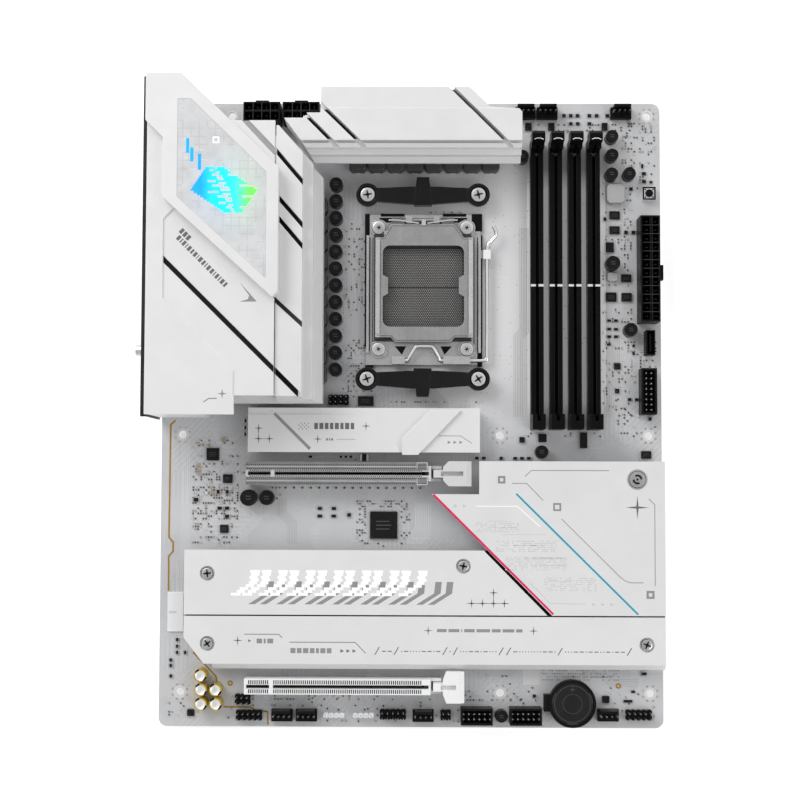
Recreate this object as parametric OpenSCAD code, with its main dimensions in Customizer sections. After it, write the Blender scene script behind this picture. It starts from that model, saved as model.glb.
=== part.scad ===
// ATX motherboard with a land-grid processor socket, four memory slots, two long
// expansion slots and clip-on or screwed covers over its solid-state drive bays.
// Origin: centre of the four outer standoff holes of the two lower rows, on the
// underside of the board. +X runs from the rear connectors to the front edge,
// +Y towards the processor end, +Z out of the component side. Millimetres.
// Inside on_board() the x and y values are measured from the rear lower corner.

/* [Board] */
// Board width, rear edge to front edge
board_w = 243.84; // [243.6:0.01:244]
// Board length, expansion slot end to processor end
board_l = 304.8; // [304.6:0.1:305]
// Board thickness
board_t = 1.6; // [1.4:0.1:1.6]
// Corner radius of the board
board_corner_r = 4; // [2:0.5:6]
// Radius of a standoff hole
hole_r = 1.98; // [1.9:0.01:2.05]

/* [Covers and heatsinks] */
// Top of the rear connector cover above the underside of the board
rear_cover_top = 45; // [44:0.5:46]
// Top of the heatsink along the processor end
top_sink_top = 33; // [32:0.5:35]
// Top of the heatsink beside the rear connector cover
rear_sink_top = 38; // [37.5:0.1:38]
// Top of the drive covers
drive_cover_top = 11.5; // [11:0.1:12]
// Clear height under the drive covers
drive_clear_h = 5.9; // [5.5:0.1:5.9]
// Thickness of a thermal pad
pad_t = 1; // [0.8:0.1:1]

/* [Slots] */
// Height of an expansion slot above the board
slot_h = 11.2; // [11:0.1:11.3]
// Length of an expansion slot
slot_l = 89; // [88:0.5:89]
// Centre distance of neighbouring memory slots
memory_pitch = 9.2; // [9:0.1:9.4]
// Width of a memory slot
memory_w = 6.2; // [6:0.1:6.4]

/* [Processor socket] */
// Cooler screw spacing across the board
cooler_dx = 54; // [53.8:0.1:54.2]
// Cooler screw spacing along the board
cooler_dy = 90; // [89.8:0.1:90.2]
// Thickness of the load plate
plate_t = 1.2; // [1:0.1:1.4]
// Radius of the load lever's wire
lever_r = 0.9; // [0.85:0.01:0.92]

/* [Parts on the board] */
// Radius of a voltage regulator capacitor
cap_r = 3.25; // [3:0.05:3.4]
// Top of the regulator capacitors
cap_top = 9.6; // [8:0.2:10]
// Cell pitch of the power connectors
power_pitch = 4.2; // [4.1:0.05:4.25]

/* [Hidden] */
$fn = 48;
gap = 0.3;
fit_gap = 0.06;

// Standoff hole columns from the rear edge and rows from the expansion slot end
column_rear = 10.16;
column_offset = 33.02;
column_mid = 165.1;
column_front = 237.49;
row_low = 16.51;
row_mid = 140.97;
row_top = 298.45;
datum_x = (column_rear + column_front) / 2;
datum_y = (row_low + row_mid) / 2;
standoff_holes = concat(
  [for (x = [column_rear, column_mid, column_front], y = [row_low, row_mid]) [x, y]],
  [for (x = [column_offset, column_mid, column_front]) [x, row_top]]
);

// Processor socket
socket_x = 127.3;
socket_y = 213;
frame_screw_dx = 43;
frame_screw_dy = 59.6;
backplate_t = 1.8;
post_r = 3;
post_top = 6;
screw_r = 1.7;
small_screw_r = 1.2;
plate_top = 9.4;
plate_axis_y = 246;
plate_axis_z = 5.4;
plate_pin_r = 1;
lever_axis_y = 177.3;
lever_axis_z = 5;
lever_arm_x = 158.7;

// Memory slots
memory_x = 182.9;
memory_low_y = 143.5;
memory_high_y = 285;
memory_axis_y = 281.6;
memory_axis_z = 5.2;
memory_pin_r = 1;

// Expansion slots
slot_x = 42.4;
slot_upper_y = 122.2;
slot_lower_y = 20.6;
slot_w = 7.4;
slot_top = board_t + slot_h;
latch_axis_x = slot_x + slot_l + 2.8;
latch_axis_z = 5;
latch_pin_r = 1.2;

// Drive bays
drive_socket_h = 4.2;
cover_under = board_t + drive_clear_h;
pad_under = cover_under - pad_t;
bay_upper_y = 143.2;
bay_middle_y = 69.8;
bay_lower_y = 41.5;
bay_starts = [[54, bay_upper_y], [36, bay_middle_y], [36, bay_lower_y], [133, bay_lower_y]];
drive_pad_start = 5;
drive_pad_l = 70;
latch_from_socket = 84.5;

// Voltage regulators
choke_side = 8.4;
choke_top = 9.6;
stage_h = 1;
sink_over_chokes = choke_top + 1;
sink_over_stages = board_t + stage_h + 1;

module on_board() {
  translate([-datum_x, -datum_y, 0]) children();
}

// A box from one corner to the opposite one
module block(low, high) {
  translate(low) cube(high - low);
}

// A slab with the given outline between two heights
module slab(outline, z_low, z_high) {
  translate([0, 0, z_low]) linear_extrude(z_high - z_low) polygon(outline);
}

module disc(x, y, r, z_low, z_high) {
  translate([x, y, z_low]) cylinder(r = r, h = z_high - z_low);
}

// A rod along X
module rod_x(x_low, x_high, y, z, r) {
  translate([x_low, y, z]) rotate([0, 90, 0]) cylinder(r = r, h = x_high - x_low);
}

// A rod along Y
module rod_y(x, y_low, y_high, z, r) {
  translate([x, y_low, z]) rotate([-90, 0, 0]) cylinder(r = r, h = y_high - y_low);
}

// A straight piece of wire from a to b
module wire(a, b, r) {
  d = b - a;
  length = norm(d);
  translate(a) rotate([0, acos(d[2] / length), atan2(d[1], d[0])]) cylinder(r = r, h = length);
}

// Bent wire with twelve flats through several points, with a slightly fuller ball at each bend
module bent_wire(points, r) {
  for (i = [0:len(points) - 2]) wire(points[i], points[i + 1], r, $fn = 12);
  for (i = [1:len(points) - 2]) translate(points[i]) sphere(r = r + 0.05, $fn = 12);
}

// A profile in Y and Z carried along X
module profile_x(outline, x_low, x_high) {
  translate([x_low, 0, 0]) rotate([90, 0, 90]) linear_extrude(x_high - x_low) polygon(outline);
}

// A profile in X and Z carried along Y
module profile_y(outline, y_low, y_high) {
  translate([0, y_high, 0]) rotate([90, 0, 0]) linear_extrude(y_high - y_low) polygon(outline);
}

module rounded_outline(w, l, r) {
  translate([r, 0]) square([w - 2 * r, l]);
  translate([0, r]) square([w, l - 2 * r]);
  for (x = [r, w - r], y = [r, l - r]) translate([x, y]) circle(r = r);
}

module at_cooler_screws() {
  for (sx = [-1, 1], sy = [-1, 1])
    translate([socket_x + sx * cooler_dx / 2, socket_y + sy * cooler_dy / 2, 0]) children();
}

module at_frame_screws() {
  for (sx = [-1, 1], sy = [-1, 1])
    translate([socket_x + sx * frame_screw_dx / 2, socket_y - 0.4 + sy * frame_screw_dy / 2, 0])
      children();
}

// ---- Board and processor socket ----

module circuit_board() color([0.83, 0.84, 0.85]) on_board() difference() {
  linear_extrude(board_t) rounded_outline(board_w, board_l, board_corner_r);
  for (p = standoff_holes) disc(p[0], p[1], hole_r, -1, board_t + 1);
  at_cooler_screws() disc(0, 0, post_r + gap, -1, board_t + 1);
  at_frame_screws() disc(0, 0, 2, -1, board_t + 1);
}

module socket_backplate() color([0.13, 0.13, 0.14]) on_board() difference() {
  union() {
    difference() {
      block([socket_x - 33, socket_y - 51, -backplate_t], [socket_x + 33, socket_y + 51, -0.05]);
      block([socket_x - 17, socket_y - 20, -3], [socket_x + 17, socket_y + 20, 1]);
    }
    at_cooler_screws() disc(0, 0, post_r, -1, post_top);
    at_frame_screws() disc(0, 0, 1.8, -1, board_t - 0.1);
  }
  at_cooler_screws() disc(0, 0, screw_r + fit_gap, -3, post_top + 1);
  at_frame_screws() disc(0, 0, small_screw_r + fit_gap, -3, board_t + 1);
}

module socket_body() color([0.16, 0.16, 0.17]) on_board() difference() {
  block([socket_x - 23.5, socket_y - 26, board_t], [socket_x + 23.5, socket_y + 26, 6]);
  block([socket_x - 20.2, socket_y - 20.2, 4.6], [socket_x + 20.2, socket_y + 20.2, 7]);
}

module socket_frame() color([0.72, 0.73, 0.74]) on_board() difference() {
  union() {
    block([99.8, 175.2, board_t], [155.6, 249.2, 3.2]);
    // Side rails stand up beside the load plate
    for (x = [[99.8, 101], [154.4, 155.6]])
      block([x[0], 181, board_t], [x[1], 238.5, 6.2]);
    // Screw pads
    at_frame_screws() disc(0, 0, 4.2, board_t, 4.6);
    // Ears that carry the load plate's pin
    for (x = [119.2, 132.6])
      block([x, 244.2, board_t], [x + 2.8, 247.8, 7.2]);
    // Tabs that carry the lever's hinge bar
    block([112.4, 175.4, board_t], [118.6, 179.2, 6.8]);
    block([137.4, 175.4, board_t], [150.4, 179.2, 6.8]);
    // Rest for the lever arm
    block([155.6, 227.5, board_t], [159.6, 231.5, 4.6]);
  }
  // Room for the socket body
  block([socket_x - 23.8, socket_y - 26.3, 0], [socket_x + 23.8, socket_y + 26.3, 7]);
  at_frame_screws() disc(0, 0, small_screw_r + gap, 0, 8);
  rod_x(110, 146, plate_axis_y, plate_axis_z, plate_pin_r + fit_gap);
  rod_x(108, 160, lever_axis_y, lever_axis_z, lever_r + fit_gap);
}

module socket_screws() color([0.8, 0.8, 0.8]) on_board() difference() {
  at_frame_screws() {
    disc(0, 0, small_screw_r, -backplate_t + 0.2, 4.7);
    disc(0, 0, 3.4, 4.6, 6);
  }
  at_frame_screws() disc(0, 0, 1.2, 5, 7);
}

// Outline of the load plate: rails at both sides, waisted foot at the lever
plate_outline = [
  [104.3, 188.2], [111.8, 188.2], [113.8, 186], [140.8, 186], [142.8, 188.2], [151.6, 188.2],
  [151.6, 236.9], [147.2, 236.9], [142.6, 243.4], [112, 243.4], [108.2, 236.9], [104.3, 236.9]
];

module plate_window() {
  w = 39.4;
  l = 39.6;
  difference() {
    translate([socket_x + 0.3 - w / 2, socket_y + 0.2 - l / 2, 0])
      linear_extrude(20) rounded_outline(w, l, 3.5);
    for (side = [-1, 1])
      slab([[socket_x + 0.3 + side * 17.2, 209.5], [socket_x + 0.3 + side * 17.2, 217.3],
            [socket_x + 0.3 + side * 21, 219.3], [socket_x + 0.3 + side * 21, 207.5]], 0, 20);
  }
}

module load_plate() color([0.75, 0.76, 0.77]) on_board() {
  difference() {
    union() {
      slab(plate_outline, plate_top - plate_t, plate_top);
      for (x = [[104.3, 106.4], [149.5, 151.6]])
        block([x[0], 190, plate_top - plate_t], [x[1], 235.5, plate_top + 0.7]);
    }
    plate_window();
  }
  // Knuckles drop from the plate to its hinge pin
  difference() {
    for (x = [[112, 118.2], [136.4, 142.6]]) {
      profile_x([[242, plate_top - plate_t], [242, plate_top], [243.4, plate_top],
                 [247.3, plate_axis_z + 1.1], [247.3, plate_axis_z - 1.1], [244.9, plate_axis_z - 1.1]],
                x[0], x[1]);
    }
    rod_x(110, 146, plate_axis_y, plate_axis_z, plate_pin_r);
  }
  rod_x(112, 142.6, plate_axis_y, plate_axis_z, plate_pin_r);
}

// Bends of the crank and of the arm of the load lever, at rest
crank_points = [
  [118.9, lever_axis_y, lever_axis_z], [119.8, lever_axis_y, lever_axis_z], [124, 184.1, 7.2],
  [132, 184.1, 7.2], [136.2, lever_axis_y, lever_axis_z], [137.1, lever_axis_y, lever_axis_z]
];
arm_points = [
  [156, lever_axis_y, lever_axis_z], [156.6, lever_axis_y, lever_axis_z], [lever_arm_x, 180, 5.6],
  [lever_arm_x, 231, 5.8], [163.2, 238.8, 6.6], [161.5, 243.4, 7.6]
];

module load_lever() color([0.8, 0.81, 0.82]) on_board() {
  rod_x(112.8, 119.3, lever_axis_y, lever_axis_z, lever_r);
  bent_wire(crank_points, lever_r * 0.99);
  rod_x(136.7, 156.3, lever_axis_y, lever_axis_z, lever_r);
  bent_wire(arm_points, lever_r * 0.99);
}

module cooler_bracket(y, outward) {
  eye_r = 5.6;
  difference() {
    union() {
      for (side = [-1, 1])
        disc(socket_x + side * cooler_dx / 2, y, eye_r, post_top, post_top + 3.6);
      // Bar, thicker towards the middle
      slab([[socket_x - 24, y - 3.2], [socket_x - 5, y - 4.6], [socket_x + 5, y - 4.6],
            [socket_x + 24, y - 3.2], [socket_x + 24, y + 3.2], [socket_x + 7, y + 4],
            [socket_x - 7, y + 4], [socket_x - 24, y + 3.2]], post_top, post_top + 3.2);
      // Hook tab in the middle
      slab([[socket_x - 4.4, y - 5.2 * outward], [socket_x + 4.4, y - 5.2 * outward],
            [socket_x + 3, y + 8.6 * outward], [socket_x - 3, y + 8.6 * outward]],
           post_top - 1.4, post_top + 3.5);
    }
    for (side = [-1, 1]) {
      disc(socket_x + side * cooler_dx / 2, y, 2.4, 0, 20);
      disc(socket_x + side * cooler_dx / 2, y, 4.1, post_top + 1.8, 20);
    }
  }
}

module cooler_brackets() color([0.1, 0.1, 0.11]) on_board() {
  cooler_bracket(socket_y + cooler_dy / 2, 1);
  cooler_bracket(socket_y - cooler_dy / 2, -1);
}

module cooler_bracket_screws() color([0.82, 0.82, 0.82]) on_board() difference() {
  at_cooler_screws() {
    disc(0, 0, screw_r, -backplate_t + 0.1, post_top + 2);
    disc(0, 0, 3.6, post_top + 1.8, post_top + 3.8);
  }
  at_cooler_screws() disc(0, 0, 1.3, post_top + 2.6, post_top + 5);
}

// ---- Memory slots ----

module memory_slot(index) {
  x = memory_x + (index - 1) * memory_pitch;
  half = memory_w / 2;
  end_wall_y = 278.4;
  difference() {
    union() {
      block([x - half, 150, board_t], [x + half, end_wall_y, board_t + 6.6]);
      // Fixed tower at the lower end
      block([x - half, memory_low_y, board_t], [x + half, 150.8, 18]);
      // Ears for the latch pin at the upper end
      block([x - half, end_wall_y, board_t], [x + half, memory_high_y, 8]);
    }
    // Groove for the module's edge, in two runs either side of the key
    for (run = [[147.6, 213], [214.6, end_wall_y + 2]])
      block([x - 0.8, run[0], board_t + 1.4], [x + 0.8, run[1], 30]);
    block([x - 2, end_wall_y, board_t - 1], [x + 2, memory_high_y + 1, 30]);
    rod_x(x - 4, x + 4, memory_axis_y, memory_axis_z, memory_pin_r + fit_gap);
  }
}

module memory_latch(index) {
  x = memory_x + (index - 1) * memory_pitch;
  half = memory_w / 2;
  difference() {
    union() {
      profile_x([[279.8, 3.1], [283.8, 3.1], [284.2, 10], [279.8, 10]], x - 1.7, x + 1.7);
      profile_x([[280, 9.4], [287.3, 9.4], [287.3, 18.6], [285.9, 20], [282.4, 20],
                 [281.8, 15], [280, 15]], x - half, x + half);
    }
    // Channel that closes on the module's end
    block([x - 0.8, 279, 4.5], [x + 0.8, 281.3, 22]);
  }
  rod_x(x - half, x + half, memory_axis_y, memory_axis_z, memory_pin_r);
}

module memory_slot_1() color([0.12, 0.12, 0.13]) on_board() memory_slot(1);
module memory_slot_2() color([0.12, 0.12, 0.13]) on_board() memory_slot(2);
module memory_slot_3() color([0.12, 0.12, 0.13]) on_board() memory_slot(3);
module memory_slot_4() color([0.12, 0.12, 0.13]) on_board() memory_slot(4);
module memory_latch_1() color([0.09, 0.09, 0.1]) on_board() memory_latch(1);
module memory_latch_2() color([0.09, 0.09, 0.1]) on_board() memory_latch(2);
module memory_latch_3() color([0.09, 0.09, 0.1]) on_board() memory_latch(3);
module memory_latch_4() color([0.09, 0.09, 0.1]) on_board() memory_latch(4);

// ---- Expansion slots ----

module expansion_slot(y) {
  half = slot_w / 2;
  x_end = slot_x + slot_l;
  key_x = slot_x + 12.9;
  difference() {
    union() {
      block([slot_x, y - half, board_t], [x_end, y + half, slot_top]);
      // Ears for the latch pin
      block([x_end - 1, y - half, board_t], [latch_axis_x + 2.4, y + half, 8]);
    }
    for (run = [[slot_x + 1, key_x - 0.9], [key_x + 0.9, x_end - 1]])
      block([run[0], y - 0.9, 4.2], [run[1], y + 0.9, slot_top + 1]);
    block([x_end + 0.4, y - 2.2, 1], [latch_axis_x + 3, y + 2.2, 20]);
    rod_y(latch_axis_x, y - 6, y + 6, latch_axis_z, latch_pin_r + fit_gap);
  }
}

// Paddle latch: pressing the outer end down lets the card out
module expansion_latch(y, half_paddle, paddle_end, taper) {
  half = slot_w / 2;
  neck = latch_axis_x + 3;
  half_neck = 3.2;
  difference() {
    union() {
      profile_y([[latch_axis_x - 1.6, 3], [latch_axis_x + 1.2, 3], [neck + 2, 8.6], [neck + 2, 13.4],
                 [latch_axis_x - 1.6, 13.4]], y - 1.9, y + 1.9);
      intersection() {
        profile_y([[neck, 8.8], [paddle_end - 2, 9.4], [paddle_end, 11], [paddle_end, 12.6],
                   [paddle_end - 2.4, 14], [neck, 14]], y - half_paddle, y + half_paddle);
        slab([[neck, y - half_neck], [neck + taper, y - half_paddle], [paddle_end, y - half_paddle],
              [paddle_end, y + half_paddle], [neck + taper, y + half_paddle], [neck, y + half_neck]],
             5, 20);
      }
    }
    block([neck - 1, y - 1.1, 12], [paddle_end - 4, y + 1.1, 20]);
  }
  rod_y(latch_axis_x, y - half, y + half, latch_axis_z, latch_pin_r);
}

module expansion_slot_upper() color([0.62, 0.63, 0.65]) on_board() expansion_slot(slot_upper_y);
module expansion_slot_lower() color([0.93, 0.93, 0.93]) on_board() expansion_slot(slot_lower_y);

module expansion_latch_upper() color([0.78, 0.78, 0.8]) on_board()
  expansion_latch(slot_upper_y, 6, 150.8, 2.6);

module expansion_latch_lower() color([0.92, 0.92, 0.92]) on_board()
  expansion_latch(slot_lower_y, 7.4, 147.4, 1.6);

// Steel jacket around the upper expansion slot
module expansion_slot_shield() color([0.6, 0.61, 0.63]) on_board() {
  y = slot_upper_y;
  half = slot_w / 2 + 0.1;
  reach = 5.5;
  x_end = slot_x + slot_l;
  for (side = [-1, 1]) {
    y_pair = side < 0 ? [y - reach, y - half] : [y + half, y + reach];
    block([slot_x, y_pair[0], board_t], [x_end - 1.5, y_pair[1], slot_top - 0.4]);
  }
  // Two rolled edges leave the groove free
  for (side = [-1, 1]) {
    y_pair = side < 0 ? [y - reach, y - 1.7] : [y + 1.7, y + reach];
    block([slot_x, y_pair[0], slot_top], [x_end - 1.5, y_pair[1], slot_top + 0.5]);
  }
  for (side = [-1, 1]) {
    y_pair = side < 0 ? [y - reach, y - half] : [y + half, y + reach];
    block([slot_x, y_pair[0], slot_top - 0.5], [x_end - 1.5, y_pair[1], slot_top + 0.1]);
  }
}

// ---- Rear connector cover, heatsinks and shield ----

cover_x = -2;
cover_low_y = 149.2;
cover_high_y = 308.3;
cover_front_x = 58;
panel_top = rear_cover_top - 4.6;
cover_skin = 2.2;

// Raised diagonal band that carries the light window
band_outline = [
  [cover_x, cover_high_y], [14.5, cover_high_y], [60, 264], [60, 206], [57.4, 203.3],
  [6.2, 250], [6.2, 278], [cover_x, 286]
];
// Translucent window on the band
window_outline = [[13, 296], [19, 296], [54.5, 261.5], [54.5, 212], [13, 250]];
// Flat panels below the band
panel_outline = [
  [cover_x, 286], [6.2, 278], [6.2, 250], [57.4, 203.3], [cover_front_x, 203.3],
  [cover_front_x, 158], [39.6, 158], [39.6, cover_low_y], [cover_x, cover_low_y]
];

// Front panels of the cover, sunk a little
sunk_outline = [
  [12.3, 247.2], [6, 240.4], [6, 203.4], [39.2, 169.8], [39.2, 158], [60, 158], [60, 206]
];
sunk_depth = 0.7;

module slanted_groove(a, b, width, z_low) {
  d = b - a;
  length = norm(d);
  translate([a[0], a[1], z_low]) rotate([0, 0, atan2(d[1], d[0])])
    translate([0, -width / 2, 0]) cube([length, width, 30]);
}

module rear_cover() color([0.9, 0.9, 0.91]) on_board() {
  difference() {
    union() {
      slab(band_outline, panel_top - cover_skin, rear_cover_top);
      // The two front panels lie lower than the rail along the rear edge and the lower corner
      difference() {
        slab(panel_outline, panel_top - cover_skin, panel_top);
        slab(sunk_outline, panel_top - sunk_depth, 60);
      }
      // Upper corner beside the band, level with the heatsink
      slab([[35.6, 287.4], [57.8, 287.4], [57.8, 265.6]], rear_sink_top - 1.4, rear_sink_top + 0.6);
      // Walls round the connectors
      block([cover_x + 1.4, cover_low_y, board_t], [24, cover_low_y + 2, panel_top - 1]);
      block([cover_x + 1.4, cover_high_y - 2, 0.2], [14, cover_high_y, panel_top - 1]);
      block([22, cover_low_y + 1, board_t], [24, 290, panel_top - 1]);
    }
    // Seat of the light window
    slab(window_outline, rear_cover_top - 1.4, rear_cover_top + 1);
    // Long slanted slot between the panels
    intersection() {
      slab(sunk_outline, 0, 60);
      slanted_groove([3, 224.7], [60, 168.2], 2.4, panel_top - 1.7);
    }
    // Slanted groove of the corner piece beside the band
    slanted_groove([41.4, 289.8], [58.5, 271.7], 2.6, rear_sink_top - 0.4);
  }
}

module light_window() color([0.8, 0.95, 0.98]) on_board() {
  slab(window_outline, rear_cover_top - 1.4, rear_cover_top - 0.2);
}

// Rear voltage regulator heatsink, stepped down towards the socket
rear_sink_outline = [[58.3, 285.2], [59.4, 285.2], [70.7, 272.6], [70.7, 158], [58.3, 158]];
rear_step_outline = [[58.3, 284], [61, 284], [75.3, 268.2], [75.3, 156.8], [58.3, 156.8]];
rear_ledge_outline = [[26, 284], [61, 284], [79.4, 263.6], [79.4, 155.7], [26, 155.7]];

module rear_heatsink() color([0.88, 0.88, 0.89]) on_board() difference() {
  union() {
    slab(rear_sink_outline, 18, rear_sink_top);
    slab(rear_step_outline, 18, rear_sink_top - 7);
    slab(rear_ledge_outline, sink_over_chokes, rear_sink_top - 17);
    // Base over the power stages and fins under the cover
    block([57, 160, sink_over_stages], [68.6, 262, 12]);
    block([26, 160, 18], [56, 262, 36]);
  }
  // Slanted slots across the top face
  slanted_groove([57, 274.7], [74, 254.7], 2, rear_sink_top - 4);
  slanted_groove([57, 253.9], [74, 234.4], 2, rear_sink_top - 4);
  slanted_groove([57, 244.3], [74, 224.4], 2, rear_sink_top - 4);
  slanted_groove([57, 204], [74, 188.5], 2, rear_sink_top - 4);
  // The cover's long slot runs on across this face
  slanted_groove([56, 172.2], [74, 154.3], 2.4, rear_sink_top - 4);
  // Fins between the slots under the cover
  for (y = [166:8:256]) block([25, y, 22], [54, y + 4, 40]);
}

// Outline in plan of the heatsink along the processor end
top_sink_outline = [
  [61.4, 290], [70.4, 290], [71, 292.5], [78.6, 292.5], [78.8, 305], [149.3, 305],
  [158.9, 295.6], [172.6, 294.6], [174, 293], [174, 270.9], [78, 267.7], [77, 269]
];

module top_heatsink() color([0.9, 0.9, 0.91]) on_board() difference() {
  intersection() {
    slab(top_sink_outline, 0, 50);
    union() {
      // Stepped face towards the socket, base on the power stages
      profile_x([[305.2, 24], [305.2, top_sink_top - 0.5], [294.9, top_sink_top - 0.5],
                 [294.7, top_sink_top], [279.4, top_sink_top], [279.3, top_sink_top - 3],
                 [278.4, top_sink_top - 3], [278.3, top_sink_top - 1.6], [276.4, top_sink_top - 3],
                 [276.3, top_sink_top - 6], [273.9, top_sink_top - 7], [273.8, top_sink_top - 11],
                 [271.2, top_sink_top - 13], [271.2, top_sink_top - 15], [274.4, top_sink_top - 15],
                 [274.4, sink_over_chokes], [281, sink_over_chokes], [281, 16], [290, 16], [293, 24]],
                58, 176);
      block([86, 281, sink_over_stages], [166, 290, 17]);
    }
  }
  // Slanted slots through the top face
  slanted_groove([70, 293.2], [86.8, 276.2], 1.9, top_sink_top - 5);
  slanted_groove([78, 297.3], [99.6, 276.2], 1.9, top_sink_top - 5);
  slanted_groove([139.4, 306.2], [169.3, 276.3], 1.9, top_sink_top - 5);
}

shield_x = -2.2;
shield_t = 1;
shield_low_y = 148.3;
shield_high_y = 308.4;
shield_top = rear_cover_top - 6.9;

// Rear connectors, each [centre y, low z, width, height, depth]
usb_stacks = [[270, 1.8, 14, 15.4], [270, 18.4, 14, 14.6], [250.5, 1.8, 14, 15.4],
              [250.5, 18.4, 14, 14.6], [231, 1.8, 14, 15.4], [231, 18.4, 14, 8]];
video_blocks = [[288.5, 1.8, 16.4, 7], [288.5, 11.2, 17.4, 8.2]];
network_y = 209;
network_w = 16;
network_z = 16.6;
network_h = 13.6;
network_floor_z = 1.8;
data_port_zs = [network_floor_z, 9.3];
data_port_h = 7.2;
antenna_y = 180;
antenna_z = [12, 26];
antenna_r = 2.6;
jack_ys = [159.5, 170];
jack_zs = [7.4, 20.4];
jack_bore_r = 1.8;
jack_collar_r = 3.8;
button_y = 302.4;
button_zs = [8, 19];
button_r = 2.2;

module rear_shield() color([0.3, 0.3, 0.32]) on_board() difference() {
  union() {
    block([shield_x, shield_low_y, 0.2], [shield_x + shield_t, shield_high_y, shield_top]);
    // Lip that stands out past the cover along the top edge
    block([shield_x - 1.9, shield_low_y, shield_top - 2.6], [shield_x + 0.5, shield_high_y, shield_top]);
  }
  for (p = concat(usb_stacks, video_blocks))
    block([shield_x - 1, p[0] - p[2] / 2 - gap, p[1] - gap],
          [shield_x + 2, p[0] + p[2] / 2 + gap, p[1] + p[3] + gap]);
  block([shield_x - 1, network_y - network_w / 2 - gap, network_floor_z - gap],
        [shield_x + 2, network_y + network_w / 2 + gap, network_z + network_h + gap]);
  for (z = antenna_z)
    rod_x(shield_x - 1, shield_x + 3, antenna_y, z, antenna_r + gap);
  for (y = jack_ys, z = jack_zs)
    rod_x(shield_x - 1, shield_x + 3, y, z, jack_collar_r + 0.4);
  for (z = button_zs)
    rod_x(shield_x - 1, shield_x + 3, button_y, z, button_r + gap);
}

// A jacketed opening that faces the rear, with a tongue inside
module port_shell(y, z, w, h, depth, wall, tongue_z, tongue_t) {
  difference() {
    block([shield_x - 0.3, y - w / 2, z], [depth, y + w / 2, z + h]);
    block([shield_x - 1, y - w / 2 + wall, z + wall], [depth - 3, y + w / 2 - wall, z + h - wall]);
  }
  block([shield_x + 0.9, y - w / 2 + 1.6, tongue_z], [depth - 2, y + w / 2 - 1.6, tongue_z + tongue_t]);
}

module usb_ports() color([0.65, 0.66, 0.68]) on_board() {
  for (p = usb_stacks) {
    count = p[3] > 10 ? 2 : 1;
    cell_h = p[3] / count;
    for (k = [0:count - 1])
      port_shell(p[0], p[1] + k * cell_h, p[2], cell_h - 0.3, 17, 0.5, p[1] + (k + 0.55) * cell_h, 1.9);
    // Housing behind and between the openings
    block([6, p[0] - p[2] / 2 - 0.4, p[1] - 0.2], [17.4, p[0] + p[2] / 2 + 0.4, p[1] + p[3]]);
  }
}

module video_ports() color([0.62, 0.63, 0.65]) on_board() {
  for (p = video_blocks) {
    port_shell(p[0], p[1], p[2], p[3], 15, 0.6, p[1] + p[3] * 0.4, 1.6);
    block([7, p[0] - p[2] / 2 - 0.3, p[1] - 0.2], [16.6, p[0] + p[2] / 2 + 0.3, p[1] + p[3] + 0.6]);
  }
  // Carrier that lifts the upper connector off the lower one
  block([8, 280.5, 8.8], [16.4, 296.5, 11.3]);
}

// A closed box behind the shield with one opening in its front
module network_shell(z_low, z_high) {
  block([shield_x - 0.3, network_y - network_w / 2, z_low], [20, network_y + network_w / 2, z_high]);
}

module network_port() color([0.6, 0.61, 0.63]) on_board() {
  // Jack with its latch recess
  difference() {
    network_shell(network_z, network_z + network_h);
    block([shield_x - 1, network_y - 6, network_z + 2.4], [11, network_y + 6, network_z + 9.6]);
    block([shield_x - 1, network_y - 3, network_z + 9], [11, network_y + 3, network_z + 12]);
  }
  // Two flat data ports below it
  for (z = data_port_zs)
    difference() {
      network_shell(z, z + data_port_h);
      block([shield_x - 1, network_y - 6.3, z + 1], [8, network_y + 6.3, z + data_port_h - 1.6]);
    }
}

// One jack block with its round collar in the shield
module audio_jack(y, z) {
  difference() {
    union() {
      block([shield_x + shield_t + 0.1, y - 5.1, z - 5.8], [12, y + 5.1, z + 7.1]);
      rod_x(shield_x - 0.6, shield_x + 2.4, y, z, jack_collar_r);
    }
    rod_x(shield_x - 1, shield_x + 12, y, z, jack_bore_r);
  }
}

module audio_jacks() color([0.15, 0.15, 0.16]) on_board()
  for (y = jack_ys, z = jack_zs) audio_jack(y, z);

module antenna_module() color([0.7, 0.6, 0.35]) on_board() difference() {
  union() {
    block([1, antenna_y - 4.5, board_t], [19, antenna_y + 9, 31]);
    for (z = antenna_z) rod_x(-8.4, 1.6, antenna_y, z, antenna_r);
  }
  for (z = antenna_z) rod_x(-9, -3, antenna_y, z, 1.5);
}

rear_switch_x = 2;
rear_plunger_r = 1.4;

// A round button that pokes through the shield, with its plunger behind
module rear_button(z) {
  rod_x(shield_x - 0.8, shield_x + 1.8, button_y, z, button_r);
  rod_x(shield_x + 1.6, shield_x + 2.6, button_y, z, button_r + 0.7);
  rod_x(shield_x + 2.5, shield_x + 5.8, button_y, z, rear_plunger_r);
}

module firmware_button() color([0.12, 0.12, 0.12]) on_board() rear_button(button_zs[0]);
module clear_settings_button() color([0.85, 0.85, 0.85]) on_board() rear_button(button_zs[1]);

// ---- Drive covers ----

upper_cover_outline = [[43.2, 132.4], [154.9, 132.4], [154.9, 153.8], [43.2, 153.8]];
// Left part of its top, which stands a little higher
upper_raised_outline = [[43.2, 132.4], [116.6, 132.4], [114.2, 138], [101, 150.6], [43.2, 150.6]];
// Outline of the release slider
slider_outline = [[117.5, 131.2], [125.1, 131.2], [145.8, 152.8], [131.3, 152.8], [117.5, 139.2]];
slider_travel = 3;
slider_low = drive_cover_top + 0.05;
slider_top = drive_cover_top + 1.5;
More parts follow.
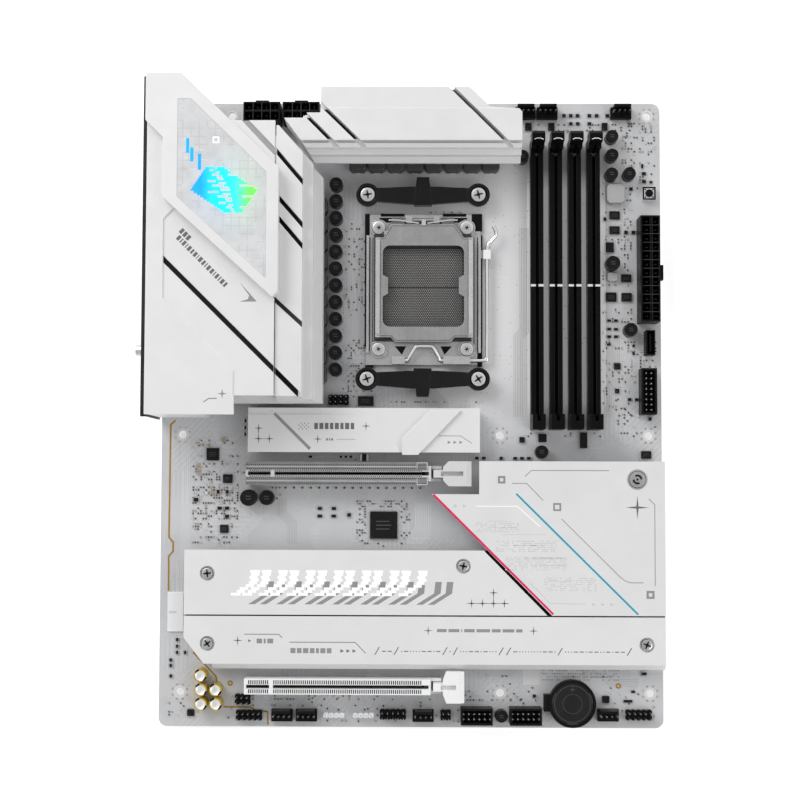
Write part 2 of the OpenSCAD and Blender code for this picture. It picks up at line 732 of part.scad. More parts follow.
// Corner of the slider's foot at rest, and the foot's size in x and y
slider_foot = [121.3, 137.6];
slider_foot_size = [4.8, 2.8];
slider_foot_z = drive_cover_top - 2.8;
middle_cover_outline = [[13.1, 54.6], [187.2, 54.6], [156.8, 85.4], [13.1, 85.4]];
lower_cover_outline = [[13.1, 43.7], [22.8, 31.2], [243.6, 31.2], [243.6, 53.9], [13.1, 53.9]];
chipset_outline = [
  [131.9, 112.4], [154.6, 112.4], [154.6, 128.3], [243.6, 128.3], [243.6, 54.6], [189.4, 54.6]
];
cover_screw_places = [[24.2, 74.2], [147, 78], [24.5, 40.8], [234.6, 40.8]];
cover_screw_r = 1.4;

// Feet that stand the upper cover on the board, [low x, low y]
upper_cover_feet = [[43.4, 133], [43.4, 149.4], [150.8, 133], [150.8, 149.4]];
foot_w = 3.8;

module drive_cover_upper() color([0.88, 0.88, 0.89]) on_board() difference() {
  union() {
    slab(upper_cover_outline, cover_under, drive_cover_top);
    slab(upper_raised_outline, cover_under, drive_cover_top + 0.5);
    for (f = upper_cover_feet)
      block([f[0], f[1], board_t], [f[0] + foot_w, f[1] + foot_w, cover_under + 0.5]);
    // Raised face that presses on the drive
    drive_pad(bay_starts[0]);
  }
  // Slot for the slider's foot, longer than it by its travel
  block([slider_foot[0] - gap, slider_foot[1] - 0.2, slider_foot_z - gap],
        [slider_foot[0] + slider_foot_size[0] + slider_travel + gap,
         slider_foot[1] + slider_foot_size[1] + 0.2, 40]);
  slanted_groove([53.6, 153.3], [73.2, 133.9], 1.5, drive_cover_top - 0.3);
}

module cover_release_slider() color([0.95, 0.95, 0.95]) on_board() {
  slab(slider_outline, slider_low, slider_top);
  block([slider_foot[0], slider_foot[1], slider_foot_z],
        [slider_foot[0] + slider_foot_size[0], slider_foot[1] + slider_foot_size[1], slider_low + 0.1]);
}

module screwed_cover(outline, places) {
  difference() {
    union() {
      slab(outline, cover_under, drive_cover_top);
      for (p = places) disc(p[0], p[1], 3.4, board_t, cover_under + 0.1);
    }
    for (p = places) {
      disc(p[0], p[1], cover_screw_r + fit_gap, -1, 20);
      disc(p[0], p[1], 3.6, drive_cover_top - 1.2, 20);
    }
  }
}

module drive_cover_middle() color([0.87, 0.87, 0.88]) on_board()
  screwed_cover(middle_cover_outline, [cover_screw_places[0], cover_screw_places[1]]);

module drive_cover_lower() color([0.87, 0.87, 0.88]) on_board() {
  screwed_cover(lower_cover_outline, [cover_screw_places[2], cover_screw_places[3]]);
  // Bevelled front edge
  profile_x([[31.3, cover_under], [31.3, drive_cover_top], [28.6, cover_under + 0.6],
             [28.6, cover_under]], 26.8, 243.6);
}

module cover_screws() color([0.75, 0.75, 0.77]) on_board() difference() {
  for (p = cover_screw_places) {
    disc(p[0], p[1], cover_screw_r, board_t + 0.2, drive_cover_top - 1);
    disc(p[0], p[1], 3.1, drive_cover_top - 1.2, drive_cover_top + 0.2);
  }
  for (p = cover_screw_places) disc(p[0], p[1], 1.1, drive_cover_top - 0.8, 20);
}

module chipset_heatsink() color([0.9, 0.9, 0.91]) on_board() {
  slab(chipset_outline, 8, 12);
  // Pedestal on the chipset and feet at the corners
  block([184, 78, board_t + 2.6], [212, 106, 8.5]);
  for (p = [[160, 122], [238, 122], [238, 60], [196, 60]]) disc(p[0], p[1], 3, board_t, 8.5);
}

module drive_sockets() color([0.1, 0.1, 0.11]) on_board() difference() {
  for (p = bay_starts)
    block([p[0] - 6, p[1] - 10.8, board_t], [p[0] + 2.6, p[1] + 10.8, board_t + drive_socket_h]);
  for (p = bay_starts)
    block([p[0] - 3, p[1] - 10, board_t + 1.5], [p[0] + 4, p[1] + 10, board_t + 2.7]);
}

// Quarter-turn latch at the far end of a drive bay
module drive_latch(place) {
  x = place[0] + latch_from_socket;
  y = place[1];
  difference() {
    union() {
      disc(x, y, 2.6, board_t + 0.1, board_t + 3.2);
      block([x - 4.6, y - 1.3, board_t + 1.8], [x, y + 1.3, board_t + 3.2]);
    }
    disc(x, y, 1.2, board_t - 1, board_t + 1.2);
  }
}

module drive_latch_1() color([0.1, 0.1, 0.1]) on_board() drive_latch(bay_starts[0]);
module drive_latch_2() color([0.1, 0.1, 0.1]) on_board() drive_latch(bay_starts[1]);
module drive_latch_3() color([0.1, 0.1, 0.1]) on_board() drive_latch(bay_starts[2]);
module drive_latch_4() color([0.1, 0.1, 0.1]) on_board() drive_latch(bay_starts[3]);

// ---- Voltage regulators and thermal pads ----

top_choke_xs = [for (k = [0:7]) 95.4 + 9.3 * k];
top_choke_y = 274.2;
rear_choke_ys = [for (k = [0:9]) 170 + 9.2 * k];
rear_choke_x = 76.4;

module chokes() color([0.35, 0.35, 0.37]) on_board() {
  for (x = top_choke_xs)
    block([x - choke_side / 2, top_choke_y - 4.6, board_t],
          [x + choke_side / 2, top_choke_y + 4, choke_top]);
  for (y = rear_choke_ys)
    block([rear_choke_x - 4.3, y - choke_side / 2, board_t],
          [rear_choke_x + 4.3, y + choke_side / 2, choke_top]);
  // Standard chokes in the open area beside the memory slots
  block([217.2, 254.4, board_t], [226.2, 264.6, 5.4]);
  block([217.4, 216.1, board_t], [222.8, 221, 4.4]);
}

module power_stages() color([0.1, 0.1, 0.11]) on_board() {
  for (x = top_choke_xs)
    block([x - 3, 283, board_t], [x + 3, 288, board_t + stage_h]);
  for (y = rear_choke_ys)
    block([60.4, y - 3, board_t], [65.4, y + 3, board_t + stage_h]);
}

module drive_pad(place) {
  x = place[0] + drive_pad_start;
  block([x, place[1] - 9, pad_under], [x + drive_pad_l, place[1] + 9, cover_under]);
}

module thermal_pads() color([0.55, 0.6, 0.66]) on_board() {
  stage_top = board_t + stage_h;
  block([90, 282.4, stage_top], [164, 288.6, sink_over_stages]);
  block([59.6, 165, stage_top], [66.2, 257.6, sink_over_stages]);
  block([91, top_choke_y + 0.4, choke_top], [164.7, top_choke_y + 4, sink_over_chokes]);
  block([72, 165.8, choke_top], [78, 257, sink_over_chokes]);
  // Pads that press on the drives under the screwed covers
  for (k = [1:3]) drive_pad(bay_starts[k]);
  // Pad on the chipset
  block([187, 81, board_t + 1.6], [209, 103, board_t + 2.6]);
}

cap_column_x = 84.9;
cap_column = [for (k = [0:11]) [cap_column_x, 172.6 + 8.25 * k, cap_r, cap_top]];
// Stands partly under the corner of the top heatsink
sink_corner_cap = [175.9, 277.2, 3.1, 9];
other_caps = [
  [219.6, 287.1, 3.1, 9], [219.6, 277.9, 3.1, 9], [219.4, 268.6, 3.1, 9], [228, 268.7, 3.1, 9],
  [219.8, 224.8, 3.5, 9], [228.3, 192.3, 3.3, 9], [185, 132.9, 3.2, 8.6],
  [43.2, 110.4, 4, 9], [52, 110.4, 3.6, 9], [165.4, 6.2, 3, 8], sink_corner_cap
];

module capacitors() color([0.08, 0.08, 0.09]) on_board()
  for (c = concat(cap_column, other_caps)) disc(c[0], c[1], c[2], board_t, c[3]);

audio_cap_places = [[20.9, 25.2], [21.2, 18.4], [28.2, 18.4], [21.2, 11.6], [28.3, 11.6]];

module audio_capacitors() color([0.8, 0.68, 0.35]) on_board()
  for (p = audio_cap_places) disc(p[0], p[1], 3.1, board_t, 9);

// ---- Power connectors and headers ----

// A grid of square cells with a pin in each
module power_connector(x, y, columns, rows) {
  border = 0.55;
  w = columns * power_pitch + 2 * border;
  l = rows * power_pitch + 2 * border;
  half_cell = power_pitch / 2 - 0.25;
  half_pin = 0.45;
  centres = [for (i = [0:columns - 1], j = [0:rows - 1])
    [x + border + (i + 0.5) * power_pitch, y + border + (j + 0.5) * power_pitch]];
  difference() {
    block([x, y, board_t], [x + w, y + l, 14.4]);
    for (c = centres)
      block([c[0] - half_cell, c[1] - half_cell, 5], [c[0] + half_cell, c[1] + half_cell, 20]);
  }
  for (c = centres)
    block([c[0] - half_pin, c[1] - half_pin, 4.5], [c[0] + half_pin, c[1] + half_pin, 11.5]);
}

module cpu_power_connectors() color([0.1, 0.1, 0.1]) on_board() {
  for (x = [39.9, 59]) {
    power_connector(x, 293, 4, 2);
    // Catch for the plug's latch
    block([x + 5.8, 302, 8], [x + 12.2, 303.6, 12.6]);
  }
}

module main_power_connector() color([0.1, 0.1, 0.1]) on_board() {
  power_connector(232.2, 195.6, 2, 12);
  block([241.4, 215.9, 8], [243.4, 223.2, 12.8]);
}

// Plain strip with square pins, columns along X
module pin_header(x, y, columns, rows, z_top) {
  pitch = 2.54;
  w = columns * pitch;
  l = rows * pitch;
  block([x, y, board_t], [x + w, y + l, board_t + 2.5]);
  for (i = [0:columns - 1], j = [0:rows - 1])
    block([x + (i + 0.5) * pitch - 0.32, y + (j + 0.5) * pitch - 0.32, board_t + 2],
          [x + (i + 0.5) * pitch + 0.32, y + (j + 0.5) * pitch + 0.32, z_top]);
}

module pin_headers() color([0.1, 0.1, 0.1]) on_board() {
  pin_header(37.6, 3.2, 5, 2, 10);
  pin_header(37, 10.8, 3, 2, 10);
  pin_header(107, 3.8, 5, 2, 10);
  pin_header(136.2, 3.6, 2, 2, 10);
  pin_header(225.3, 4, 5, 2, 10);
  pin_header(79.8, 4.6, 4, 1, 10);
  pin_header(94, 4.6, 4, 1, 10);
  pin_header(81.3, 155.6, 4, 2, 10);
}

// Open box with pins inside, columns along X or Y
module box_header(low, high, columns, rows) {
  difference() {
    block(low, high);
    block([low[0] + 1, low[1] + 1, low[2] + 2], [high[0] - 1, high[1] - 1, high[2] + 1]);
  }
  margin = 1.2;
  step_x = (high[0] - low[0] - 2 * margin) / columns;
  step_y = (high[1] - low[1] - 2 * margin) / rows;
  for (i = [0:columns - 1], j = [0:rows - 1]) {
    pin_x = low[0] + margin + (i + 0.5) * step_x;
    pin_y = low[1] + margin + (j + 0.5) * step_y;
    block([pin_x - 0.3, pin_y - 0.3, low[2] + 1.5], [pin_x + 0.3, pin_y + 0.3, high[2] - 2]);
  }
}

module usb_headers() color([0.1, 0.1, 0.1]) on_board() {
  box_header([145.9, 2.3, board_t], [161.1, 10.2, 10.5], 5, 2);
  box_header([169.3, 2.3, board_t], [184.6, 10.4, 10.5], 5, 2);
  // Nineteen-pin style header, upright, and the slim front-panel socket
  box_header([232.8, 151, board_t], [240.4, 173.4, 10.5], 2, 9);
  difference() {
    block([235.4, 179.8, board_t], [239.9, 192, 9]);
    block([236, 180.4, 4], [239.3, 191.4, 10]);
  }
  block([237.2, 181.4, 3.5], [238.1, 190.4, 8]);
}

// Four pins with a guide wall behind them
module fan_header(x, y) {
  block([x, y, board_t], [x + 10.2, y + 5.8, 4.8]);
  block([x + 1, y + 4.6, board_t], [x + 9.2, y + 5.8, 11.4]);
  for (i = [0:3])
    block([x + 1.29 + 2.54 * i - 0.32, y + 2.1, 4], [x + 1.29 + 2.54 * i + 0.32, y + 2.74, 11]);
}

module fan_headers() color([0.1, 0.1, 0.1]) on_board() {
  for (x = [172.4, 183.2, 219.4]) fan_header(x, 296.6);
  for (x = [54.8, 66.6, 122.8]) fan_header(x, 3);
  fan_header(211.7, 3.6);
}

// ---- Battery, chips and the start button ----

battery_x = 199.6;
battery_y = 12;

module battery_holder() color([0.08, 0.08, 0.09]) on_board() difference() {
  union() {
    disc(battery_x, battery_y, 11.3, board_t, 6.6);
    block([185.9, 8.4, board_t], [192, 16.4, 6]);
  }
  disc(battery_x, battery_y, 10.15, 2.6, 10);
}

module battery() color([0.75, 0.75, 0.76]) on_board()
  disc(battery_x, battery_y, 10, 2.6, 5.8);

// Chips, each [low x, low y, high x, high y, height]
chip_places = [
  [101.5, 90.2, 115.6, 104.2, 1.4], [21.6, 128, 28.6, 134.9, 1.2], [29.8, 117, 35.2, 122.1, 1.6],
  [28.5, 92.8, 33.5, 97.5, 1.2], [95.3, 154.8, 103.9, 160.4, 1.4], [218.5, 246.8, 224.4, 251.6, 1.2],
  [218.5, 239.5, 224.3, 244.2, 1.2], [216.6, 230.5, 221.4, 236.2, 1.2], [224.1, 215.8, 229.8, 220.5, 1.2],
  [216.5, 206.1, 222.6, 211.5, 1.2], [224.2, 206.3, 230, 211.3, 1.2], [220.4, 172.9, 224.4, 176.9, 1],
  [221.1, 161.5, 223.5, 164.1, 1], [174.4, 137.3, 177.3, 140.4, 1], [183.4, 137.3, 188.2, 142.2, 1.2],
  [203.6, 134.4, 208, 143, 1.4], [233.3, 129.4, 239.1, 133.9, 1.2], [213.8, 11.7, 218.1, 15.8, 1.2],
  [177.2, 290.9, 181.3, 295.5, 1.2], [188.5, 290.9, 192.5, 295.5, 1.2], [214.9, 291, 218.6, 295.5, 1.2],
  [13.5, 4.6, 17.7, 8.6, 1.2]
];

module logic_chips() color([0.14, 0.14, 0.15]) on_board() {
  for (p = chip_places) block([p[0], p[1], board_t], [p[2], p[3], board_t + p[4]]);
  // Chipset under its heatsink
  block([186, 80, board_t], [210, 104, board_t + 1]);
  block([193, 87, board_t], [203, 97, board_t + 1.6]);
}

switch_x = 238;
switch_y = 259.6;
button_travel = 0.25;

module button_switches() color([0.7, 0.7, 0.72]) on_board() difference() {
  union() {
    block([234.8, 256.4, board_t], [241.2, 262.8, 5]);
    // Housing of the two rear buttons
    block([rear_switch_x, button_y - 3.2, board_t], [9, button_y + 3.2, button_zs[1] + 3.2]);
  }
  disc(switch_x, switch_y, 1.8 + 0.1, 3, 6);
  for (z = button_zs)
    rod_x(rear_switch_x - 1, rear_switch_x + 3, button_y, z, rear_plunger_r + 0.1);
}

module start_button() color([0.08, 0.08, 0.08]) on_board()
  disc(switch_x, switch_y, 1.8, 3 + button_travel + 0.1, 6);

circuit_board();
socket_backplate();
socket_body();
socket_frame();
socket_screws();
load_plate();
load_lever();
cooler_brackets();
cooler_bracket_screws();
memory_slot_1();
memory_slot_2();
memory_slot_3();
memory_slot_4();
memory_latch_1();
memory_latch_2();
memory_latch_3();
memory_latch_4();
expansion_slot_upper();
expansion_slot_shield();
expansion_latch_upper();
expansion_slot_lower();
expansion_latch_lower();
rear_cover();
light_window();
rear_heatsink();
top_heatsink();
rear_shield();
usb_ports();
video_ports();
network_port();
audio_jacks();
antenna_module();
firmware_button();
clear_settings_button();
drive_cover_upper();
cover_release_slider();
drive_cover_middle();
chipset_heatsink();
drive_cover_lower();
cover_screws();
drive_sockets();
drive_latch_1();
drive_latch_2();
drive_latch_3();
drive_latch_4();
thermal_pads();
power_stages();
chokes();
capacitors();
audio_capacitors();
cpu_power_connectors();
main_power_connector();
pin_headers();
usb_headers();
fan_headers();
battery_holder();
battery();
logic_chips();
button_switches();
start_button();
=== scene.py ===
"""The looks of a full-size white mainboard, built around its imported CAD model.

Places are in millimetres from the rear bottom corner of the board, at its underside:
x runs from the rear connectors to the front edge, y from the bottom edge to the top one,
z up from the underside. `at` turns such a place into the frame's metres."""
import math
import random

import bmesh
import bpy
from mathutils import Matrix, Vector


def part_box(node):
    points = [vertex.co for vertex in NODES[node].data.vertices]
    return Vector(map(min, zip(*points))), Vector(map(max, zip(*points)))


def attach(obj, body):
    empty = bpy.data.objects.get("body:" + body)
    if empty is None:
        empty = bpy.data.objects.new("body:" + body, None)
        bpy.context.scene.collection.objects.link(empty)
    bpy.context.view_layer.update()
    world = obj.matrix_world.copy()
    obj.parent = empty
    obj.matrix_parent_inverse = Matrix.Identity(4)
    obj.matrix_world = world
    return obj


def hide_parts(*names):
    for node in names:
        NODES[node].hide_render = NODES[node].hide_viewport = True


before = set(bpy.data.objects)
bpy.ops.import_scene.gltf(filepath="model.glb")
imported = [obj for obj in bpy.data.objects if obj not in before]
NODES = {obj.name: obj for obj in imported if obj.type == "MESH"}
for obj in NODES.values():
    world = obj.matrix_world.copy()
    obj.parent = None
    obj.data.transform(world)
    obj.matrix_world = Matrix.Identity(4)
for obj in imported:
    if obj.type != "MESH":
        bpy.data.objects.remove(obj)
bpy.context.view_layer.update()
MM = 0.001
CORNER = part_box("circuit_board")[0]
BOARD_TOP = (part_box("circuit_board")[1].z - CORNER.z) / MM
INK = 0.03          # thickness of anything printed
SUNK = 0.01         # how far thin details reach into the face below
FLAT = 0.02         # thickness of what lies flat on the board


# ---- Places ----

def at(x, y, z):
    """A place in millimetres, as a vector in the frame."""
    return CORNER + Vector((x, y, z)) * MM


def span(node):
    """Lowest and highest corner of a CAD node, in millimetres."""
    low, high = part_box(node)
    return (low - CORNER) / MM, (high - CORNER) / MM


def solids(node):
    """Lowest and highest corner of each separate solid in a CAD node, in millimetres."""
    mesh = bmesh.new()
    mesh.from_mesh(NODES[node].data)
    bmesh.ops.remove_doubles(mesh, verts=mesh.verts, dist=1e-6)
    left, found = set(mesh.verts), []
    while left:
        stack, group = [left.pop()], []
        while stack:
            vert = stack.pop()
            group.append((vert.co - CORNER) / MM)
            for edge in vert.link_edges:
                other = edge.other_vert(vert)
                if other in left:
                    left.remove(other)
                    stack.append(other)
        low, high = (Vector([pick(p[i] for p in group) for i in range(3)]) for pick in (min, max))
        found.append((low, high))
    mesh.free()
    return sorted(found, key=lambda pair: (round(pair[0].x, 1), round(pair[0].y, 1), pair[0].z))


def middle(low, high):
    """The middle of a footprint."""
    return (low.x + high.x) / 2, (low.y + high.y) / 2


# ---- Shapes ----

class Shape:
    """Gathers solids in millimetres in one mesh; each face keeps the number of its finish."""

    def __init__(self):
        self.mesh = bmesh.new()

    def rings(self, rings, finish=0, closed=True):
        """Skins a stack of rings of equal length and caps both ends."""
        made = [[self.mesh.verts.new(at(*p)) for p in ring] for ring in rings]
        count = len(made[0])
        faces = []
        for low, high in zip(made, made[1:]):
            for i in range(count):
                j = (i + 1) % count
                faces.append(self.mesh.faces.new((low[i], low[j], high[j], high[i])))
        if closed:
            faces.append(self.mesh.faces.new(made[0][::-1]))
            faces.append(self.mesh.faces.new(made[-1]))
        for face in faces:
            face.material_index = finish
        return faces

    def prism(self, outline, low, high, finish=0, top=1.0):
        """An outline raised from z low to z high; top scales it about its middle at the high end."""
        mx = sum(p[0] for p in outline) / len(outline)
        my = sum(p[1] for p in outline) / len(outline)
        lower = [(x, y, low) for x, y in outline]
        upper = [(mx + (x - mx) * top, my + (y - my) * top, high) for x, y in outline]
        return self.rings([lower, upper], finish)

    def box(self, low, high, finish=0, top=1.0):
        (x0, y0, z0), (x1, y1, z1) = low, high
        return self.prism([(x0, y0), (x1, y0), (x1, y1), (x0, y1)], z0, z1, finish, top)

    def block(self, x, y, w, l, z0, z1, finish=0, top=1.0):
        """A box by the middle of its footprint."""
        return self.box((x - w / 2, y - l / 2, z0), (x + w / 2, y + l / 2, z1), finish, top)

    def boxes(self, footprints, z0, z1, finish=0):
        """Boxes over footprints of (low x, high x, low y, high y)."""
        for x0, x1, y0, y1 in footprints:
            self.box((x0, y0, z0), (x1, y1, z1), finish)

    def turned(self, x, y, profile, finish=0, sides=32, finishes=None):
        """A profile of (radius, z) turned about an upright line."""
        for k, (a, b) in enumerate(zip(profile, profile[1:])):
            tone = finishes[k] if finishes else finish
            self.rings([circle(x, y, r, z, sides) for r, z in (a, b)], tone, False)
        for (r, z), flip in ((profile[0], True), (profile[-1], False)):
            ring = [self.mesh.verts.new(at(*p)) for p in circle(x, y, r, z, sides)]
            face = self.mesh.faces.new(ring[::-1] if flip else ring)
            face.material_index = finishes[0 if flip else -1] if finishes else finish

    def ring(self, x, y, inner, outer, z0, z1, finish=0, sides=32):
        """A flat washer."""
        loops = [circle(x, y, r, z, sides) for r, z in
                 ((inner, z0), (outer, z0), (outer, z1), (inner, z1), (inner, z0))]
        self.rings(loops, finish, False)

    def mark(self, outline, z, finish=0):
        """A printed patch."""
        self.prism(outline, z, z + INK, finish)

    def line(self, points, width, z, finish=0, thick=INK):
        """A printed line with mitred corners."""
        left, right = [], []
        for i, p in enumerate(points):
            before = Vector(points[max(i - 1, 0)])
            after = Vector(points[min(i + 1, len(points) - 1)])
            here = Vector(p)
            first = (here - before).normalized() if i else (after - here).normalized()
            last = (after - here).normalized() if i < len(points) - 1 else first
            side = Vector((-(first + last).y, (first + last).x)).normalized()
            reach = width / 2 / max(side.dot(Vector((-first.y, first.x))), 0.3)
            left.append(here + side * reach)
            right.append(here - side * reach)
        for i in range(len(points) - 1):
            self.prism([right[i], right[i + 1], left[i + 1], left[i]], z, z + thick, finish)

    def tube(self, points, r, finish=0, sides=12):
        """A round wire along smooth points, capped at both ends."""
        loops = []
        for i, p in enumerate(points):
            here = Vector(p)
            after, before = points[min(i + 1, len(points) - 1)], points[max(i - 1, 0)]
            along = (Vector(after) - Vector(before)).normalized()
            up = Vector((0, 0, 1)) if abs(along.z) < 0.9 else Vector((0, 1, 0))
            side = along.cross(up).normalized()
            up = side.cross(along)
            loops.append([here + (side * math.cos(a) + up * math.sin(a)) * r
                          for a in (math.tau * k / sides for k in range(sides))])
        self.rings(loops, finish)

    def piece(self, name, slot, finishes, body="board", bevel=0.0, replaces=None, smooth=35):
        """Makes the object: welded, with outward faces, its finishes (names in order) and body. The slot is
        not used.
        """
        bmesh.ops.remove_doubles(self.mesh, verts=self.mesh.verts, dist=2e-7)
        bmesh.ops.recalc_face_normals(self.mesh, faces=self.mesh.faces)
        data = bpy.data.meshes.new(name)
        self.mesh.to_mesh(data)
        self.mesh.free()
        data.polygons.foreach_set("use_smooth", [True] * len(data.polygons))
        data.set_sharp_from_angle(angle=math.radians(smooth))
        thing = placed(name, data)
        for finish in finishes.split():
            data.materials.append(FINISHES[finish].material)
        if bevel:
            soften(thing, bevel)
        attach(thing, body)
        if replaces:
            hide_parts(replaces)


def placed(name, data):
    """A new object in the scene."""
    thing = bpy.data.objects.new(name, data)
    bpy.context.scene.collection.objects.link(thing)
    return thing


def circle(x, y, r, z, sides=32):
    turns = [math.tau * k / sides for k in range(sides)]
    return [(x + r * math.cos(turn), y + r * math.sin(turn), z) for turn in turns]


def arc(x, y, r, turns):
    return [(x + r * math.cos(turn), y + r * math.sin(turn)) for turn in turns]


def soften(thing, width, segments=2, harden=True):
    """Rounds the sharp edges of an object by a width in millimetres."""
    bevel = thing.modifiers.new("rounded edges", "BEVEL")
    bevel.width = width * MM
    bevel.segments = segments
    bevel.limit_method = "ANGLE"
    bevel.angle_limit = math.radians(35)
    bevel.harden_normals = harden
    bevel.use_clamp_overlap = True


def curve_through(points, steps=6):
    """A smooth line through the points, by Catmull and Rom's rule."""
    p = [Vector(q) for q in points]
    p = [2 * p[0] - p[1]] + p + [2 * p[-1] - p[-2]]
    out = []
    for i in range(1, len(p) - 2):
        for k in range(steps):
            t = k / steps
            out.append(0.5 * (2 * p[i] + (p[i + 1] - p[i - 1]) * t
                              + (2 * p[i - 1] - 5 * p[i] + 4 * p[i + 1] - p[i + 2]) * t * t
                              + (3 * p[i] - p[i - 1] - 3 * p[i + 1] + p[i + 2]) * t ** 3))
    return out + [p[-2]]


# ---- Finishes ----

SIGNS = {"+": "ADD", "-": "SUBTRACT", "*": "MULTIPLY", "/": "DIVIDE", ">": "GREATER_THAN", "<": "LESS_THAN",
         "^": "POWER", "max": "MAXIMUM"}


def add_node(tree, kind, *inputs, **settings):
    """A node whose inputs are (socket, value or output) pairs."""
    made = tree.nodes.new("ShaderNode" + kind)
    for key, value in settings.items():
        setattr(made, key, value)
    for socket, value in inputs:
        if isinstance(value, bpy.types.NodeSocket):
            tree.links.new(value, made.inputs[socket])
        else:
            made.inputs[socket].default_value = value
    return made


class Finish:
    """A procedural material on one Principled shader. Patterns read object coordinates."""

    def __init__(self, name, **settings):
        self.material = bpy.data.materials.new(name + "_finish")
        self.material.use_nodes = True
        self.tree = self.material.node_tree
        self.shader = self.tree.nodes["Principled BSDF"]
        self.place = self.tree.nodes.new("ShaderNodeTexCoord").outputs["Object"]
        for key, value in settings.items():
            self.shader.inputs[key.replace("_", " ")].default_value = value

    def node(self, kind, *inputs, **settings):
        return add_node(self.tree, kind, *inputs, **settings)

    def stretched(self, sx=1.0, sy=1.0, sz=1.0, turn=0.0):
        """The coordinates scaled along each axis, after a turn about z in degrees."""
        return self.node("Mapping", ("Vector", self.place), ("Scale", (sx, sy, sz)),
                         ("Rotation", (0, 0, math.radians(turn)))).outputs[0]

    def noise(self, size, detail=2.0, place=None):
        return self.node("TexNoise", ("Vector", place or self.place), ("Scale", 1 / (size * MM)),
                         ("Detail", detail)).outputs["Fac"]

    def cells(self, size, output="Distance", feature="F1", distance="EUCLIDEAN"):
        return self.node("TexVoronoi", ("Vector", self.place), ("Scale", 1 / (size * MM)),
                         feature=feature, distance=distance).outputs[output]

    def waves(self, size, place=None, direction="X"):
        """Parallel bands, one every size millimetres."""
        return self.node("TexWave", ("Vector", place or self.place), ("Scale", math.pi / (20 * size * MM)),
                         bands_direction=direction).outputs["Fac"]

    def spread(self, value, low, high, to_low=0.0, to_high=1.0):
        return self.node("MapRange", ("Value", value), ("From Min", low), ("From Max", high),
                         ("To Min", to_low), ("To Max", to_high)).outputs[0]

    def calc(self, a, sign, b):
        return self.node("Math", (0, a), (1, b), operation=SIGNS[sign]).outputs[0]

    def size(self, value):
        """A value without its sign."""
        return self.node("Math", (0, value), (1, 0.0), operation="ABSOLUTE").outputs[0]

    def mix(self, share, a, b):
        """Colour b laid over a; a plain number is a grey."""
        a, b = (grey(c) if isinstance(c, float) else c for c in (a, b))
        return self.node("Mix", (0, share), (6, a), (7, b), data_type="RGBA").outputs[2]

    def axis(self, name):
        """One coordinate of the place, in millimetres from the board's corner."""
        index = "XYZ".index(name)
        raw = self.node("SeparateXYZ", (0, self.place)).outputs[index]
        return self.calc(self.calc(raw, "-", CORNER[index]), "*", 1000.0)

    def oval(self, x, y, wide, high):
        """Squared distance from a middle, in half widths and half heights: 1 on the oval's edge."""
        across = self.calc(self.calc(self.axis("X"), "-", x), "/", wide)
        along = self.calc(self.calc(self.axis("Y"), "-", y), "/", high)
        return self.calc(self.calc(across, "*", across), "+", self.calc(along, "*", along))

    def upright(self, normal):
        """How much a normal points up or down."""
        return self.size(self.node("SeparateXYZ", (0, normal)).outputs[2])

    def plain(self):
        """The colour made so far."""
        return self.shader.inputs["Base Color"].links[0].from_socket

    def set(self, socket, value):
        self.tree.links.new(value, self.shader.inputs[socket])

    def gloss(self, size, smooth, rough):
        """Uneven roughness."""
        self.set("Roughness", self.spread(self.noise(size, 3.0), 0.3, 0.7, smooth, rough))

    def bump(self, height, depth):
        """Bump from a height, depth millimetres deep."""
        made = self.node("Bump", ("Height", height), ("Distance", depth * MM), ("Strength", 1.0))
        self.set("Normal", made.outputs[0])


def grey(value):
    return value, value, value, 1.0


def surface(name, colour, rough, metal, grain, depth, shade, specular=0.5, brushed=None, **settings):
    """A finish with a fine grain, cloudy colour and uneven gloss. brushed is the stretch of its scratches."""
    made = Finish(name, Metallic=metal, Specular_IOR_Level=specular, **settings)
    colour = (colour,) * 3 if isinstance(colour, float) else colour
    fine = made.noise(grain, 3.0, made.stretched(*brushed) if brushed else None)
    light = made.calc(made.calc(fine, "*", 0.6), "+", made.calc(made.noise(26.0), "*", 0.4))
    low = tuple(max(c * (1 - shade), 0) for c in colour) + (1.0,)
    high = tuple(min(c * (1 + shade), 1) for c in colour) + (1.0,)
    made.set("Base Color", made.mix(made.spread(light, 0.3, 0.7), low, high))
    made.gloss(7.0, max(rough - 0.06, 0.02), rough + 0.07)
    made.bump(fine, depth)
    return made


def paint_dark_side_reflection(made, share=0.85):
    """Painted reflection: darkens the colour of faces that turn away from upright, as polished steel looks
    under a soft box.
    """
    upright = made.upright(made.place.node.outputs["Normal"])
    made.set("Base Color", made.mix(made.spread(upright, 0.88, 0.45, 0.0, share), made.plain(), 0.03))


